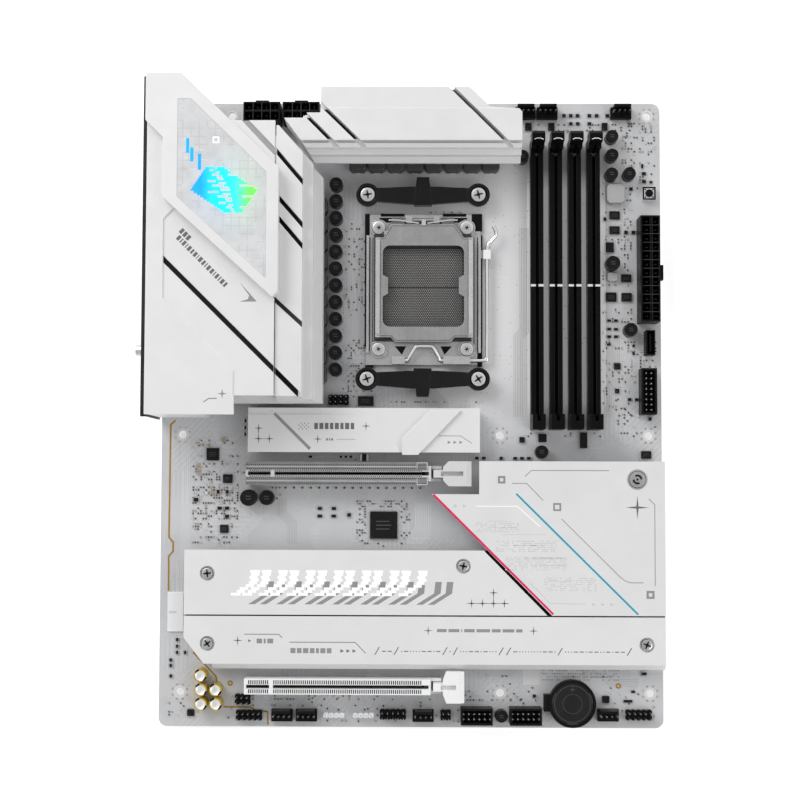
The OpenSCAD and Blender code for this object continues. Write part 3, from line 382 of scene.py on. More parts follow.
def board_finish():
    """Light solder mask: copper areas and fine tracks show through it as faint tones. Painted light makes it
    lighter around the memory slots and lets it glow faintly between them.
    """
    made = Finish("board", Metallic=0.12, Coat_Weight=0.25, Coat_Roughness=0.28)
    area = made.cells(17.0, "Color", distance="CHEBYCHEV")
    area = made.node("SeparateColor", (0, area)).outputs[0]
    inside = made.spread(made.cells(17.0, feature="DISTANCE_TO_EDGE"), 0.01, 0.03)
    tracks = None
    for k, turn in enumerate((0.0, 45.0, 90.0)):
        band = made.spread(made.waves(1.1, made.stretched(turn=turn)), 0.62, 0.8)
        here = made.calc(made.calc(area, ">", 0.22 + 0.2 * k), "*", made.calc(area, "<", 0.34 + 0.2 * k))
        band = made.calc(band, "*", here)
        tracks = band if tracks is None else made.calc(tracks, "+", band)
    dots = made.calc(made.spread(made.cells(2.1), 0.14, 0.1), "*", made.calc(made.noise(9.0, 1.0), ">", 0.53))
    clouds = made.spread(made.noise(60.0), 0.35, 0.65)
    tone = made.mix(clouds, (0.50, 0.505, 0.52, 1), (0.58, 0.585, 0.595, 1))
    # Painted light: a lighter patch of board around the memory slots.
    painted_light_near_memory = made.spread(made.oval(178.0, 222.0, 62.0, 95.0), 1.0, 0.2, 0.0, 0.75)
    for share, colour in ((painted_light_near_memory, (0.80, 0.80, 0.81, 1)),
                          (made.calc(made.calc(area, ">", 0.55), "*", 0.16), (0.70, 0.70, 0.71, 1)),
                          (made.calc(made.calc(tracks, "*", inside), "*", 0.22), (0.76, 0.76, 0.77, 1)),
                          (made.calc(dots, "*", 0.35), (0.33, 0.33, 0.35, 1))):
        tone = made.mix(share, tone, colour)
    flat = made.calc(made.upright(made.node("NewGeometry").outputs["True Normal"]), ">", 0.5)
    made.set("Base Color", made.mix(flat, (0.60, 0.59, 0.52, 1), tone))
    # Painted light: a faint glow on the board between the slots, making up for the light that the slots' dark
    # walls keep from it.
    x = made.axis("X")
    between = made.calc(made.calc(x, ">", 178.5), "*", made.calc(x, "<", 217.0))
    along = made.spread(made.size(made.calc(made.axis("Y"), "-", 210.0)), 52.0, 62.0, 1.0, 0.0)
    made.shader.inputs["Emission Color"].default_value = grey(1.0)
    made.set("Emission Strength", made.calc(made.calc(between, "*", along), "*", 0.14))
    made.gloss(3.0, 0.38, 0.52)
    made.bump(made.calc(made.noise(0.3), "+", made.calc(tracks, "*", 1.5)), 0.006)
    return made


def window_finish():
    """Frosted window lit from below, strongest around the emblem."""
    made = Finish("window", Metallic=0.0, Coat_Weight=0.4, Coat_Roughness=0.2)
    glow = made.calc(made.spread(made.oval(36.0, 252.0, 22.0, 24.0), 1.0, 0.0), "^", 1.6)
    across, along = (made.spread(made.waves(1.9, direction=way), 0.9, 0.99) for way in "XY")
    grid = made.calc(made.calc(across, "max", along), "*", made.calc(made.noise(9.0, 1.0), ">", 0.5))
    tone = made.mix(made.spread(made.noise(6.0, 3.0), 0.3, 0.7), (0.56, 0.57, 0.58, 1), (0.66, 0.67, 0.68, 1))
    made.set("Base Color", made.mix(made.calc(grid, "*", 0.35), tone, (0.42, 0.43, 0.44, 1)))
    made.set("Emission Color", rainbow(made, made.axis("X")))
    made.set("Emission Strength", made.calc(glow, "*", 0.16))
    made.gloss(4.0, 0.28, 0.40)
    made.bump(made.noise(0.8), 0.01)
    return made


def rainbow(made, x):
    """Blue at the rear, through cyan, to green at the front."""
    ramp = made.node("ValToRGB", (0, made.spread(x, 16.0, 48.5)))
    stops = ((0.0, (0.0, 0.30, 1.0, 1)), (0.30, (0.0, 0.25, 1.0, 1)), (0.55, (0.0, 0.62, 1.0, 1)),
             (0.78, (0.02, 0.85, 0.55, 1)), (1.0, (0.12, 1.0, 0.08, 1)))
    marks = ramp.color_ramp.elements
    marks[0].color, marks[1].color = stops[0][1], stops[-1][1]
    for place, colour in stops[1:-1]:
        marks.new(place).color = colour
    return ramp.outputs[0]


def emblem_finish():
    made = Finish("emblem", Roughness=0.4)
    glow = rainbow(made, made.calc(made.axis("X"), "+", made.calc(made.noise(12.0, 1.0), "*", 4.0)))
    made.set("Base Color", glow)
    made.set("Emission Color", glow)
    made.set("Emission Strength", made.spread(made.noise(3.0), 0.3, 0.7, 0.85, 1.05))
    return made


ALONG = (0.06, 1.0, 1.0)      # scratches along x
SURFACES = {  # grey tone or colour, roughness, metal, grain size, grain depth, shade, specular, scratches
    "cover": (0.74, 0.42, 0.12, 0.28, 0.010, 0.035),
    "sink": (0.74, 0.40, 0.15, 0.22, 0.008, 0.035),
    "panel": (0.66, 0.45, 0.15, 0.25, 0.010, 0.04),
    "dark_groove": (0.004, 0.6, 0.0, 0.4, 0.01, 0.3, 0.2),
    "grey_groove": (0.34, 0.5, 0.1, 0.4, 0.01, 0.08),
    "plastic": (0.006, 0.40, 0.0, 0.3, 0.010, 0.3, 0.12),
    "bracket": (0.006, 0.22, 0.0, 0.3, 0.006, 0.3, 0.4),
    "memory": (0.005, 0.33, 0.0, 0.3, 0.006, 0.3, 0.08),
    "white_plastic": (0.82, 0.36, 0.0, 0.5, 0.006, 0.03),
    "grey_plastic": (0.60, 0.38, 0.0, 0.5, 0.006, 0.05),
    "socket_steel": (0.80, 0.25, 0.75, 1.2, 0.001, 0.04),
    "plate_steel": (0.52, 0.25, 0.7, 1.0, 0.001, 0.08, 0.5, (1.0, 0.05, 1.0)),
    "bright": (0.92, 0.17, 0.7, 0.8, 0.002, 0.05),
    "screw": (0.58, 0.28, 0.7, 0.5, 0.003, 0.10),
    "screw_bright": (0.85, 0.22, 0.7, 0.5, 0.002, 0.06),
    "slot_steel": (0.36, 0.32, 0.7, 0.3, 0.004, 0.08, 0.5, ALONG),
    "port_steel": (0.62, 0.30, 0.85, 0.4, 0.004, 0.08, 0.5, ALONG),
    "black_metal": (0.012, 0.42, 0.2, 0.35, 0.008, 0.25),
    "gold": ((0.86, 0.60, 0.22), 0.24, 1.0, 0.6, 0.002, 0.08),
    "sleeve": ((0.62, 0.44, 0.05), 0.32, 0.5, 0.6, 0.004, 0.10),
    "aluminium": (0.86, 0.34, 0.55, 0.4, 0.004, 0.05),
    "tin": (0.74, 0.30, 1.0, 0.5, 0.004, 0.10),
    "ferrite": (0.40, 0.50, 0.15, 0.35, 0.014, 0.08),
    "dark_ferrite": (0.05, 0.50, 0.1, 0.35, 0.014, 0.2),
    "epoxy": (0.008, 0.46, 0.0, 0.18, 0.008, 0.25, 0.2),
    "resistor": (0.006, 0.35, 0.0, 0.3, 0.004, 0.3, 0.35),
    "ceramic": ((0.40, 0.29, 0.19), 0.45, 0.0, 0.3, 0.004, 0.12),
    "can": (0.008, 0.36, 0.0, 0.25, 0.004, 0.25, 0.2),
    "cell": (0.010, 0.34, 0.2, 0.3, 0.004, 0.25, 0.5, (1.0, 0.1, 1.0)),
    "pad": ((0.42, 0.47, 0.54), 0.80, 0.0, 0.6, 0.03, 0.06),
    "socket_plastic": (0.035, 0.48, 0.0, 0.3, 0.008, 0.15),
    "contact": ((0.4692, 0.46, 0.4508), 0.34, 0.6, 0.4, 0.003, 0.10),
    "ink": (0.13, 0.50, 0.0, 0.5, 0.002, 0.10),
    "soft_ink": (0.26, 0.50, 0.0, 0.5, 0.002, 0.08),
    "ghost_ink": (0.58, 0.45, 0.1, 0.5, 0.002, 0.04),
    "white_ink": (0.97, 0.50, 0.0, 0.5, 0.002, 0.02),
    "light_mask": (0.67, 0.42, 0.1, 0.5, 0.002, 0.03),
    "dark_mask": (0.44, 0.42, 0.1, 0.5, 0.002, 0.04),
    "copper": ((0.42, 0.23, 0.035), 0.40, 0.35, 0.5, 0.003, 0.10),
    "cyan_ink": ((0.0, 0.32, 0.42), 0.40, 0.0, 0.5, 0.003, 0.06),
    "magenta_ink": ((0.70, 0.01, 0.10), 0.40, 0.0, 0.5, 0.003, 0.06),
    "green_plastic": ((0.22, 0.50, 0.16), 0.38, 0.0, 0.4, 0.004, 0.08),
    "amber": ((0.72, 0.42, 0.06), 0.25, 0.0, 0.4, 0.004, 0.05),
    "floor": (0.90, 0.75, 0.0, 2.0, 0.01, 0.01),
}
EXTRAS = {
    "white_plastic": {"Subsurface_Weight": 0.08, "Subsurface_Scale": 0.0015},
    "floor": {"Emission_Color": grey(1.0), "Emission_Strength": 0.38},
}
FINISHES = {name: surface(name, *values, **EXTRAS.get(name, {})) for name, values in SURFACES.items()}
FINISHES.update(board=board_finish(), window=window_finish(), emblem=emblem_finish())


def paint_rail_highlight(made):
    """A painted highlight: a brighter rail down each side of the load plate."""
    x = made.axis("X")
    rails = made.calc(made.calc(x, "<", 106.5), "max", made.calc(x, ">", 149.4))
    made.set("Base Color", made.mix(made.calc(rails, "*", 0.8), made.plain(), 0.95))


paint_rail_highlight(FINISHES["plate_steel"])
# Painted reflection: sloping steel faces get a darker colour.
for steel in ("socket_steel", "screw", "screw_bright"):
    paint_dark_side_reflection(FINISHES[steel])
for steel in ("plate_steel", "bright"):
    paint_dark_side_reflection(FINISHES[steel], 0.9)


def numbered(stem):
    """Four node names with their numbers."""
    return [f"{stem}_{k}" for k in range(1, 5)]


def dress(name, *nodes, bevel=0.0, segments=2):
    """Gives CAD nodes a finish and rounds their edges."""
    for node in nodes:
        thing = NODES[node]
        thing.data.materials.clear()
        thing.data.materials.append(FINISHES[name].material)
        if bevel:
            weld = thing.modifiers.new("joined corners", "WELD")
            weld.merge_threshold = 1e-6
            soften(thing, bevel, segments, harden=False)


# ---- CAD parts that keep their shape ----

dress("board", "circuit_board")
dress("black_metal", "socket_backplate", "rear_shield", bevel=0.12)
dress("socket_plastic", "socket_body", bevel=0.15)
dress("socket_steel", "socket_frame", bevel=0.12)
dress("plate_steel", "load_plate", bevel=0.3, segments=3)
dress("bracket", "cooler_brackets", bevel=0.6, segments=3)
dress("memory", *numbered("memory_slot"), *numbered("memory_latch"), bevel=0.12)
dress("grey_plastic", "expansion_slot_upper", "expansion_latch_upper", bevel=0.12)
dress("white_plastic", "expansion_slot_lower", "expansion_latch_lower", "clear_settings_button", bevel=0.12)
dress("slot_steel", "expansion_slot_shield", bevel=0.1)
dress("cover", "rear_cover", bevel=0.5, segments=3)
dress("window", "light_window", bevel=0.15)
dress("sink", "rear_heatsink", "top_heatsink", "chipset_heatsink", bevel=0.2)
dress("cover", "drive_cover_upper", "cover_release_slider", "drive_cover_lower", bevel=0.2)
dress("cover", "drive_cover_middle")
dress("port_steel", "usb_ports", "video_ports", "network_port", bevel=0.12)
dress("plastic", "audio_jacks", "firmware_button", "start_button", "drive_sockets",
      *numbered("drive_latch"), "cpu_power_connectors", "main_power_connector", "usb_headers",
      "fan_headers", "battery_holder", bevel=0.12)
dress("port_steel", "antenna_module", bevel=0.1)
dress("aluminium", "button_switches", bevel=0.1)
dress("pad", "thermal_pads", bevel=0.1)
dress("epoxy", "power_stages", bevel=0.08)
dress("cell", "battery", bevel=0.25)


# ---- Load lever: one smooth wire ----

def load_lever():
    """A round wire: a crank over the plate's tongue between two hinge bars, then the long arm."""
    axis_y, axis_z, radius = 177.3, 5.0, 0.88
    crank = [(119.6, axis_y, axis_z), (120.6, 178.6, 5.5), (123.2, 183.0, 7.0), (124.6, 184.0, 7.2),
             (128.0, 184.1, 7.2), (131.4, 184.0, 7.2), (132.8, 183.0, 7.0), (135.4, 178.6, 5.5)]
    arm = [(156.4, axis_y, axis_z), (158.2, 178.2, 5.2), (158.7, 180.2, 5.5), (158.7, 205.0, 5.7),
           (158.7, 231.0, 5.8), (160.4, 235.4, 6.2), (162.7, 238.2, 6.6), (162.9, 240.4, 7.0),
           (161.5, 242.9, 7.5)]
    ends = (span("load_lever")[0].x, 116.0), (136.4, 146.0)
    bars = [[(x, axis_y, axis_z) for x in pair] for pair in ends]
    wire = Shape()
    wire.tube(curve_through(bars[0] + crank + bars[1] + arm, 7), radius, sides=16)
    wire.piece("load_lever_wire", "lever_wire", "bright", "load_lever", replaces="load_lever")


load_lever()


# ---- Screws ----

# node, piece, slot, finish, shank radius and end below the top, head radius and height, recess, lobes
SCREWS = (
    ("socket_screws", "socket_screw_heads", "bright_screw", "screw_bright", 1.45, 1.3, 3.38, 1.38, 1.5, 6),
    ("cooler_bracket_screws", "bracket_screw_heads", "bright_screw", "screw_bright",
     1.6, 1.9, 3.58, 1.98, 2.3, 4),
    ("cover_screws", "cover_screw_heads", "cover_screw", "screw", 1.35, 1.1, 2.75, 1.2, 2.1, 4),
)


def screw_head(made, x, y, r, low, top, reach, lobes, turn):
    """A screw head with a rounded rim and a recess of a few lobes; the recess is painted near black as
    painted shade.
    """
    sides = 48

    def recess(z, grow):
        ring = []
        for a in (math.tau * k / sides for k in range(sides)):
            lobe = 0.5 + 0.5 * math.cos(lobes * (a - turn))
            ring += [(*p, z) for p in arc(x, y, reach * grow * (0.36 + 0.64 * lobe ** 3), [a])]
        return ring

    rim = [circle(x, y, part_r, z, sides) for part_r, z in
           ((r * 0.97, low), (r, low + 0.25), (r, top - 0.55), (r * 0.93, top - 0.2), (r * 0.72, top))]
    faces = made.rings([*rim, recess(top, 1.0), recess(top - 0.5, 0.75)], 0)
    # The recess faces take the second finish: painted shade.
    for face in faces[-sides - 2:-2] + faces[-1:]:
        face.material_index = 1


def screws():
    """Machine screws: the shanks and heads of the CAD nodes with their recesses cut."""
    dice = random.Random(4)
    for node, piece, slot, tone, shank, shank_end, head, height, reach, lobes in SCREWS:
        made = Shape()
        for low, high in solids(node):
            x, y = middle(low, high)
            turn = dice.uniform(0, 1.5) if lobes == 4 else 0.2
            made.turned(x, y, [(shank, low.z), (shank, high.z - shank_end)], 0, 24)
            screw_head(made, x, y, head, high.z - height, high.z, reach, lobes, turn)
        made.piece(piece, slot, tone + " dark_groove", replaces=node)


screws()


# ---- Socket ----

def socket_contacts():
    """The field of spring contacts in the cavity, in two halves with a bare line between them."""
    mid_x, mid_y = middle(*span("socket_body"))
    floor, pitch_x, pitch_y = 4.6, 0.94, 0.81
    field = Shape()
    for row in [*range(-23, 0), *range(1, 24)]:
        for column in range(-20, 21):
            x, y = mid_x + (column + 0.5 * (row % 2)) * pitch_x, mid_y + row * pitch_y
            if abs(x - mid_x) <= 19.4:
                field.block(x - 0.1, y, 0.34, 0.5, floor - 0.05, floor + 0.16)
                field.block(x + 0.12, y + 0.12, 0.22, 0.2, floor + 0.16, floor + 0.42, top=0.6)
    field.piece("socket_contacts", "socket_steel", "contact")
    cells = Shape()
    for sign in (-1, 1):
        cells.block(mid_x, mid_y + sign * 10.1, 40.2, 19.6, floor - 0.02, floor + 0.06)
    cells.piece("socket_cell_floor", "socket_plastic", "socket_plastic")


def plate_springs():
    """Two wire springs and a post on the load plate."""
    wires = Shape()
    for a, b, c in ((110.7, 117.0, 125.3), (144.1, 138.0, 129.5)):
        path = [(a, 245.5, 9.0), ((a + b) / 2, 245.5, 9.5), (b, 245.2, 9.6), (c, 243.9, 9.6)]
        wires.tube(curve_through(path), 0.42, sides=10)
    wires.box((126.6, 242.6, 8.6), (128.8, 245.9, 10.0), 0, 0.92)
    wires.piece("plate_springs", "lever_wire", "bright", "load_plate")


def socket_surround():
    """The dark housing that shows around the frame, and painted shade on the frame: dark strips beside the
    rails and dark patches where its openings look shaded.
    """
    housing, frame_z = Shape(), 3.2
    housing.boxes([(98.9, 101.3, 239.0, 249.6), (151.2, 156.4, 241.0, 249.6), (154.0, 156.4, 174.4, 184.0),
                   (99.2, 103.4, 174.0, 175.1), (106.6, 118.4, 248.2, 249.7), (137.0, 148.6, 248.2, 249.7)],
                  BOARD_TOP, frame_z + 0.06)
    housing.boxes([(x, x + 0.8, 184.0, 239.2) for x in (98.9, 155.7)], BOARD_TOP, 2.9)
    housing.piece("socket_housing_edge", "black_plastic", "plastic", bevel=0.1)
    # Painted shade: thin dark sheets lying on the frame's top.
    shade, low, high = Shape(), frame_z - 0.02, frame_z + 0.04
    shade.boxes([(x, x + 0.4, 182.0, 238.0) for x in (101.15, 102.7, 152.2, 153.9)], low, high)
    shade.boxes([(106.0, 117.5, 245.3, 247.7), (137.8, 149.0, 245.3, 247.7)], low, high)
    for x, tip in ((113.6, 117.2), (136.0, 138.0)):
        shade.prism([(x, 184.4), (x + 5.6, 184.4), (tip, 180.2)], low, high)
    shade.piece("frame_painted_shade", "black_plastic", "dark_groove")


def lever_clip():
    clip = Shape()
    clip.box((156.6, 226.6, 4.7), (160.6, 231.6, 7.1), 0, 0.9)
    clip.piece("lever_clip", "white_plastic", "white_plastic", "load_lever", 0.2)


def plate_details():
    """The load plate's edges drawn as painted shade lines, and its pressed marks."""
    edges, top = Shape(), 9.4
    low = top - SUNK
    # Painted shade: dark lines along the rails' inner edges and around the window.
    edges.boxes([(x, x + 0.16, 190.2, 235.4) for x in (106.5, 149.25)], low, low + 0.04)
    upper = [(105.0, 236.2), (108.7, 236.2), (112.3, 242.6), (142.4, 242.6), (146.8, 236.2), (150.9, 236.2)]
    lower = [(105.0, 188.9), (112.0, 188.9), (114.1, 186.7), (140.5, 186.7), (142.6, 188.9), (150.9, 188.9)]
    edges.line(upper, 0.2, low, 0, 0.04)
    edges.line(lower, 0.25, low, 0, 0.04)
    edges.piece("plate_edge_shade_lines", "socket_steel", "black_metal", "load_plate")
    marks, high = Shape(), top + INK
    for x, y, pitch, count, w, l in ((121.6, 238.6, 2.6, 5, 1.7, 0.5), (120.9, 236.6, 3.1, 5, 2.1, 0.9),
                                     (125.6, 190.6, 1.5, 4, 0.9, 1.5)):
        for k in range(count):
            marks.block(x + pitch * k, y, w, l, low, high)
    marks.prism([(108.4, 240.2), (110.6, 240.2), (108.4, 238.0)], low, high)
    marks.piece("plate_marks", "socket_steel", "tin", "load_plate")


socket_contacts()
plate_springs()
socket_surround()
lever_clip()
plate_details()


# ---- Cans, chokes and chips ----

def can_body(r, top, foot, crimp, groove, roll):
    """The profile of a can: a crimped foot, a groove above it and a rolled top edge."""
    heights = (foot, 0), (1, crimp), (1, groove - 0.3), (0.94, groove), (0.94, 1.5), (1, 1.9)
    return [(r * share, BOARD_TOP + height) for share, height in heights] + [(r, top - roll)]


def cans():
    """Polymer capacitors, with a recessed lid and a mark of two bars."""
    made = Shape()
    for low, high in solids("capacitors"):
        (x, y), r, top = middle(low, high), (high.x - low.x) / 2 - 0.02, high.z
        lid = top - 0.25
        made.turned(x, y, can_body(r, top, 0.92, 0.3, 1.2, 0.5) + [
            (r * 0.96, top - 0.12), (r * 0.89, top), (r * 0.83, top - 0.06), (r * 0.80, lid), (0.05, lid)])
        made.boxes([(x - r * 0.35, x + r * 0.3, y + r * 0.12, y + r * 0.24),
                    (x - r * 0.28, x + r * 0.36, y - r * 0.22, y - r * 0.10)], lid - SUNK, lid + INK, 1)
    made.piece("capacitor_cans", "black_can", "can dark_ferrite", replaces="capacitors", smooth=50)


def audio_cans():
    """Audio capacitors: a gold sleeve shrunk over a bright can, with a black sector for the minus lead."""
    made = Shape()
    for low, high in solids("audio_capacitors"):
        (x, y), r, top = middle(low, high), (high.x - low.x) / 2 - 0.02, high.z
        made.turned(x, y, can_body(r, top, 0.9, 0.35, 1.3, 0.35) + [
            (r * 0.95, top - 0.03), (r * 0.76, top - 0.02), (r * 0.72, top - 0.16), (0.05, top - 0.16)],
                    finishes=[0] * 8 + [1, 1])
        for turn in (125, -35):
            turns = [math.radians(turn) + 0.2 * k for k in range(-2, 3)]
            made.prism(arc(x, y, r * 1.01, turns) + arc(x, y, r * 0.74, turns[::-1]), top - 1.6, top + INK, 2)
    made.piece("audio_cans", "gold_sleeve", "sleeve aluminium plastic", replaces="audio_capacitors",
               smooth=50)


def choke_blocks():
    """Pressed chokes: chamfered corners, a rounded top and two tinned ends. The tall ones get a near-black
    colour as painted shade.
    """
    made = Shape()
    for low, high in solids("chokes"):
        w, l, top = high.x - low.x, high.y - low.y, high.z
        # Chokes taller than 9 mm take the near-black finish: painted shade.
        (x, y), c, tone = middle(low, high), min(w, l) * 0.16, 2 if top > 9 else 0
        a, b = w / 2 - 0.05, l / 2 - 0.25
        outline = [(x + p, y + q) for p, q in ((c - a, -b), (a - c, -b), (a, c - b), (a, b - c), (a - c, b),
                                               (c - a, b), (-a, b - c), (-a, c - b))]
        made.prism(outline, BOARD_TOP + 0.3, top - 0.35, tone)
        made.prism(outline, top - 0.35, top, tone, 0.93)
        for sign in (-1, 1):
            made.block(x, y + sign * (l / 2 - 0.35), w * 0.34, 0.7, BOARD_TOP, BOARD_TOP + 1.5, 1)
    made.piece("choke_blocks", "choke_ferrite", "ferrite tin dark_ferrite", bevel=0.15, replaces="chokes")


def chips():
    """Moulded packages with short leads, a pin mark and three faint bars."""
    made = Shape()
    for low, high in solids("logic_chips"):
        w, l, top = high.x - low.x, high.y - low.y, high.z
        x, y = middle(low, high)
        lead = 0.45 if min(w, l) > 3.2 else 0.2
        made.block(x, y, w - 2 * lead, l - 2 * lead, BOARD_TOP + 0.1, top, 0, 0.985)
        pitch = 0.5 if w > 8 else 0.8
        for length, other, flip in ((w, l, False), (l, w, True)):
            if flip and w < 8 and l < 8 and abs(w - l) > 0.8:
                continue
            count = int((length - 1.4) / pitch)
            for k in range(count + 1):
                for sign in (-1, 1):
                    place, size = ((k - count / 2) * pitch, sign * (other - lead) / 2), (pitch * 0.45, lead)
                    (px, py), (pw, pl) = (place[::-1], size[::-1]) if flip else (place, size)
                    made.block(x + px, y + py, pw, pl, BOARD_TOP, BOARD_TOP + 0.35, 1)
        dot = [(0.28, top - SUNK), (0.28, top + SUNK)]
        made.turned(x - w / 2 + lead + 0.7, y - l / 2 + lead + 0.7, dot, 2, 12)
        for k in range(3 if w > 5 else 0):
            low_y, high_y = (y + l * (0.13 * k - share) for share in (0.15, 0.11))
            right = x + w * (0.2 + 0.06 * (k % 2))
            made.boxes([(x - w * 0.26, right, low_y, high_y)], top - SUNK, top + 0.012, 2)
    made.piece("logic_packages", "chip_epoxy", "epoxy tin dark_ferrite", bevel=0.06, replaces="logic_chips")


cans()
audio_cans()
choke_blocks()
chips()


# ---- Slots and headers ----

MEMORY_TOP, KEY_Y = 8.2, 213.8      # where the memory slots' rails end, and their key


def memory_contacts():
    """Spring contacts and pressed lines along the memory slots."""
    made, top = Shape(), MEMORY_TOP
    for node in numbered("memory_slot"):
        low, high = span(node)
        x, y = middle(low, high)
        for sign in (-1, 1):
            for place in (low.y + 4.9 + 0.915 * i for i in range(144)):
                if abs(place - KEY_Y) >= 2:
                    made.block(x + sign * 0.95, place, 0.5, 0.42, top - 0.8, top + SUNK, 0, 0.8)
            for i in range(46):
                made.block(x + sign * 2.5, low.y + 5.6 + 2.85 * i, 0.55, 1.5, top - 0.02, top + 0.015, 1)
            made.block(x + sign * 2.95, y - 2, 0.14, 128, top - 0.02, top + 0.02, 2)
    made.piece("memory_contacts", "memory_plastic", "epoxy plastic memory")


def memory_key_bars():
    """The light bars beside the keys of the memory slots."""
    made = Shape()
    for node in numbered("memory_slot"):
        x, _ = middle(*span(node))
        for sign in (-1, 1):
            made.block(x + sign * 1.9, KEY_Y, 2.5, 1.1, MEMORY_TOP - SUNK, MEMORY_TOP + 0.06)
    made.piece("memory_key_bars", "memory_plastic", "light_mask")


def expansion_contacts():
    """Contacts of the two long slots, and the pressings along the upper one's jacket."""
    made, key_x = Shape(), 55.3
    for node, offset, length in (("expansion_slot_upper", 1.3, 0.5), ("expansion_slot_lower", 2.15, 1.9)):
        low, high = span(node)
        y, top = (low.y + high.y) / 2, high.z
        # A dark sheet deep in each slot: painted shade.
        made.box((low.x + 1.6, y - 0.75, top - 7.2), (high.x - 8.2, y + 0.75, top - 6.9), 1)
        for x in (low.x + 2.3 + i for i in range(83)):
            for sign in (-1, 1) if abs(x - key_x) >= 1.2 else ():
                made.block(x, y + sign * offset, 0.52, length, top - SUNK, top + 0.02, 1)
                made.block(x, y + sign * 0.62, 0.4, 0.3, top - 5.5, top - 0.8, 0)
    made.piece("expansion_contacts", "memory_plastic", "contact dark_groove")

    made = Shape()
    low, high = span("expansion_slot_shield")
    y, top = (low.y + high.y) / 2, high.z
    for i in range(88):
        for offset in (-4.7, -2.3, 2.3, 4.1):
            made.block(low.x + 0.8 + 0.98 * i, y + offset, 0.5, 0.42, top - SUNK, top + 0.02)
    for offset in (-3.6, 3.3):
        made.line([(low.x + 0.4, y + offset), (high.x - 5.6, y + offset)], 0.3, top, 1, 0.02)
    left, right = high.x - 5.2, high.x - 0.3
    for near, far in ((2.2, 5.2), (-2.2, -5.2)):
        made.line([(left, y + near), (left, y + far), (right, y + far), (right, y + near)], 0.3, top, 1, 0.03)
    made.piece("shield_pressings", "slot_steel", "black_metal aluminium")


def header_pins():
    """Pin headers: one eight-sided cell and one pin for each contact. Single rows are white."""
    made, pitch, a, c = Shape(), 2.54, 1.24, 0.75
    for low, high in solids("pin_headers"):
        columns, rows = round((high.x - low.x) / pitch), round((high.y - low.y) / pitch)
        cell, pin = (2, 3) if rows == 1 else (0, 1)
        for x, y in lattice(low, high, columns, rows, pitch):
            outline = [(x - c, y - a), (x + c, y - a), (x + a, y - c), (x + a, y + c),
                       (x + c, y + a), (x - c, y + a), (x - a, y + c), (x - a, y - c)]
            made.prism(outline, BOARD_TOP, BOARD_TOP + 2.5, cell)
            made.block(x, y, 0.64, 0.64, BOARD_TOP, high.z - 0.5, pin)
            made.block(x, y, 0.64, 0.64, high.z - 0.5, high.z, pin, 0.5)
    made.piece("header_pins", "black_plastic", "plastic screw white_plastic aluminium", bevel=0.07,
               replaces="pin_headers")


def lattice(low, high, columns, rows, pitch_x, pitch_y=None):
    """Places of a grid about the middle of a footprint."""
    x, y = middle(low, high)
    return [(x + (i - (columns - 1) / 2) * pitch_x, y + (j - (rows - 1) / 2) * (pitch_y or pitch_x))
            for i in range(columns) for j in range(rows)]


def boxed_pins():
    """Pins inside the fan and data headers, and the solder pads beside the sideways one."""
    pins, pitch = Shape(), 2.54
    for node in ("usb_headers", "fan_headers"):
        for low, high in solids(node):
            w, l = high.x - low.x, high.y - low.y
            if w < 5:
                continue
            if node == "fan_headers":
                columns, rows = 4, 1
            elif w > l:
                columns, rows = 4 if w < 14 else max(2, int((w - 2.4) / pitch) + 1), 2
            else:
                columns, rows = 2, max(2, int((l - 2.4) / pitch) + 1)
            for x, y in lattice(low, high, columns, rows, pitch, pitch * (0.9 if l < 5 else 1)):
                pins.block(x, y, 0.66, 0.66, BOARD_TOP + 1.5, high.z - 1.2, 0, 0.9)
    left, right, bottom, top = 235.4, 239.9, 179.8, 192.0
    for x in (left - 0.35, right + 0.35):
        for k in range(9):
            pins.block(x, bottom + 1.3 + 1.2 * k, 0.7, 0.6, BOARD_TOP, BOARD_TOP + 0.8, 1)
    for y in (bottom - 0.4, top + 0.4):
        pins.block((left + right) / 2, y, 4.4, 0.8, BOARD_TOP, BOARD_TOP + 1.6, 1)
    pins.piece("boxed_pins", "black_plastic", "contact aluminium", bevel=0.06)


def power_pins():
    """Pins in the power connectors' cells, and the lines between the cells."""
    cups, cell, edge = Shape(), 4.2, 0.4
    for low, high in solids("cpu_power_connectors") + solids("main_power_connector"):
        columns, rows = round((high.x - low.x - 1) / cell), round((high.y - low.y - 1) / cell)
        if columns * rows < 8:
            continue
        for x, y in lattice(low, high, columns, rows, cell):
            cups.block(x, y, 1.0, 1.0, 5.2, 11.4)
            cups.block(x, y, 1.0, 1.0, 11.4, 12.0, 0, 0.5)
        x, y = middle(low, high)
        x0, y0 = x - columns * cell / 2, y - rows * cell / 2
        x1, y1 = x0 + columns * cell, y0 + rows * cell
        for i in range(1, columns):
            cups.line([(x0 + i * cell, y0 + edge), (x0 + i * cell, y1 - edge)], 0.16, high.z, 0, 0.02)
        for j in range(1, rows):
            cups.line([(x0 + edge, y0 + j * cell), (x1 - edge, y0 + j * cell)], 0.16, high.z, 0, 0.02)
    cups.piece("power_pins", "black_plastic", "dark_ferrite", bevel=0.05)


memory_contacts()
expansion_contacts()
memory_key_bars()
header_pins()
boxed_pins()
power_pins()


# ---- The board's surface ----

def blocked(x, y, gap):
    """Whether a place on the board lies under or beside a CAD part."""
    return any(low.x - gap < x < high.x + gap and low.y - gap < y < high.y + gap for low, high in FOOTPRINTS)


OPEN_BELOW = ("circuit_board", "socket_backplate", "rear_cover", "light_window", "top_heatsink",
              "rear_heatsink", "load_lever", "load_plate", "cooler_brackets", "expansion_slot_shield")
FOOTPRINTS = [pair for name in NODES if name not in OPEN_BELOW for pair in solids(name)]
HOLES = [(x, y) for x in (10.16, 165.1, 237.49) for y in (16.51, 140.97)]
HOLES += [(x, 298.45) for x in (33.02, 165.1, 237.49)]
HOLE_RIM = 4.6      # nothing small lies nearer to a mounting hole's middle


def near_hole(x, y, reach):
    return any(math.hypot(x - hole_x, y - hole_y) < reach for hole_x, hole_y in HOLES)


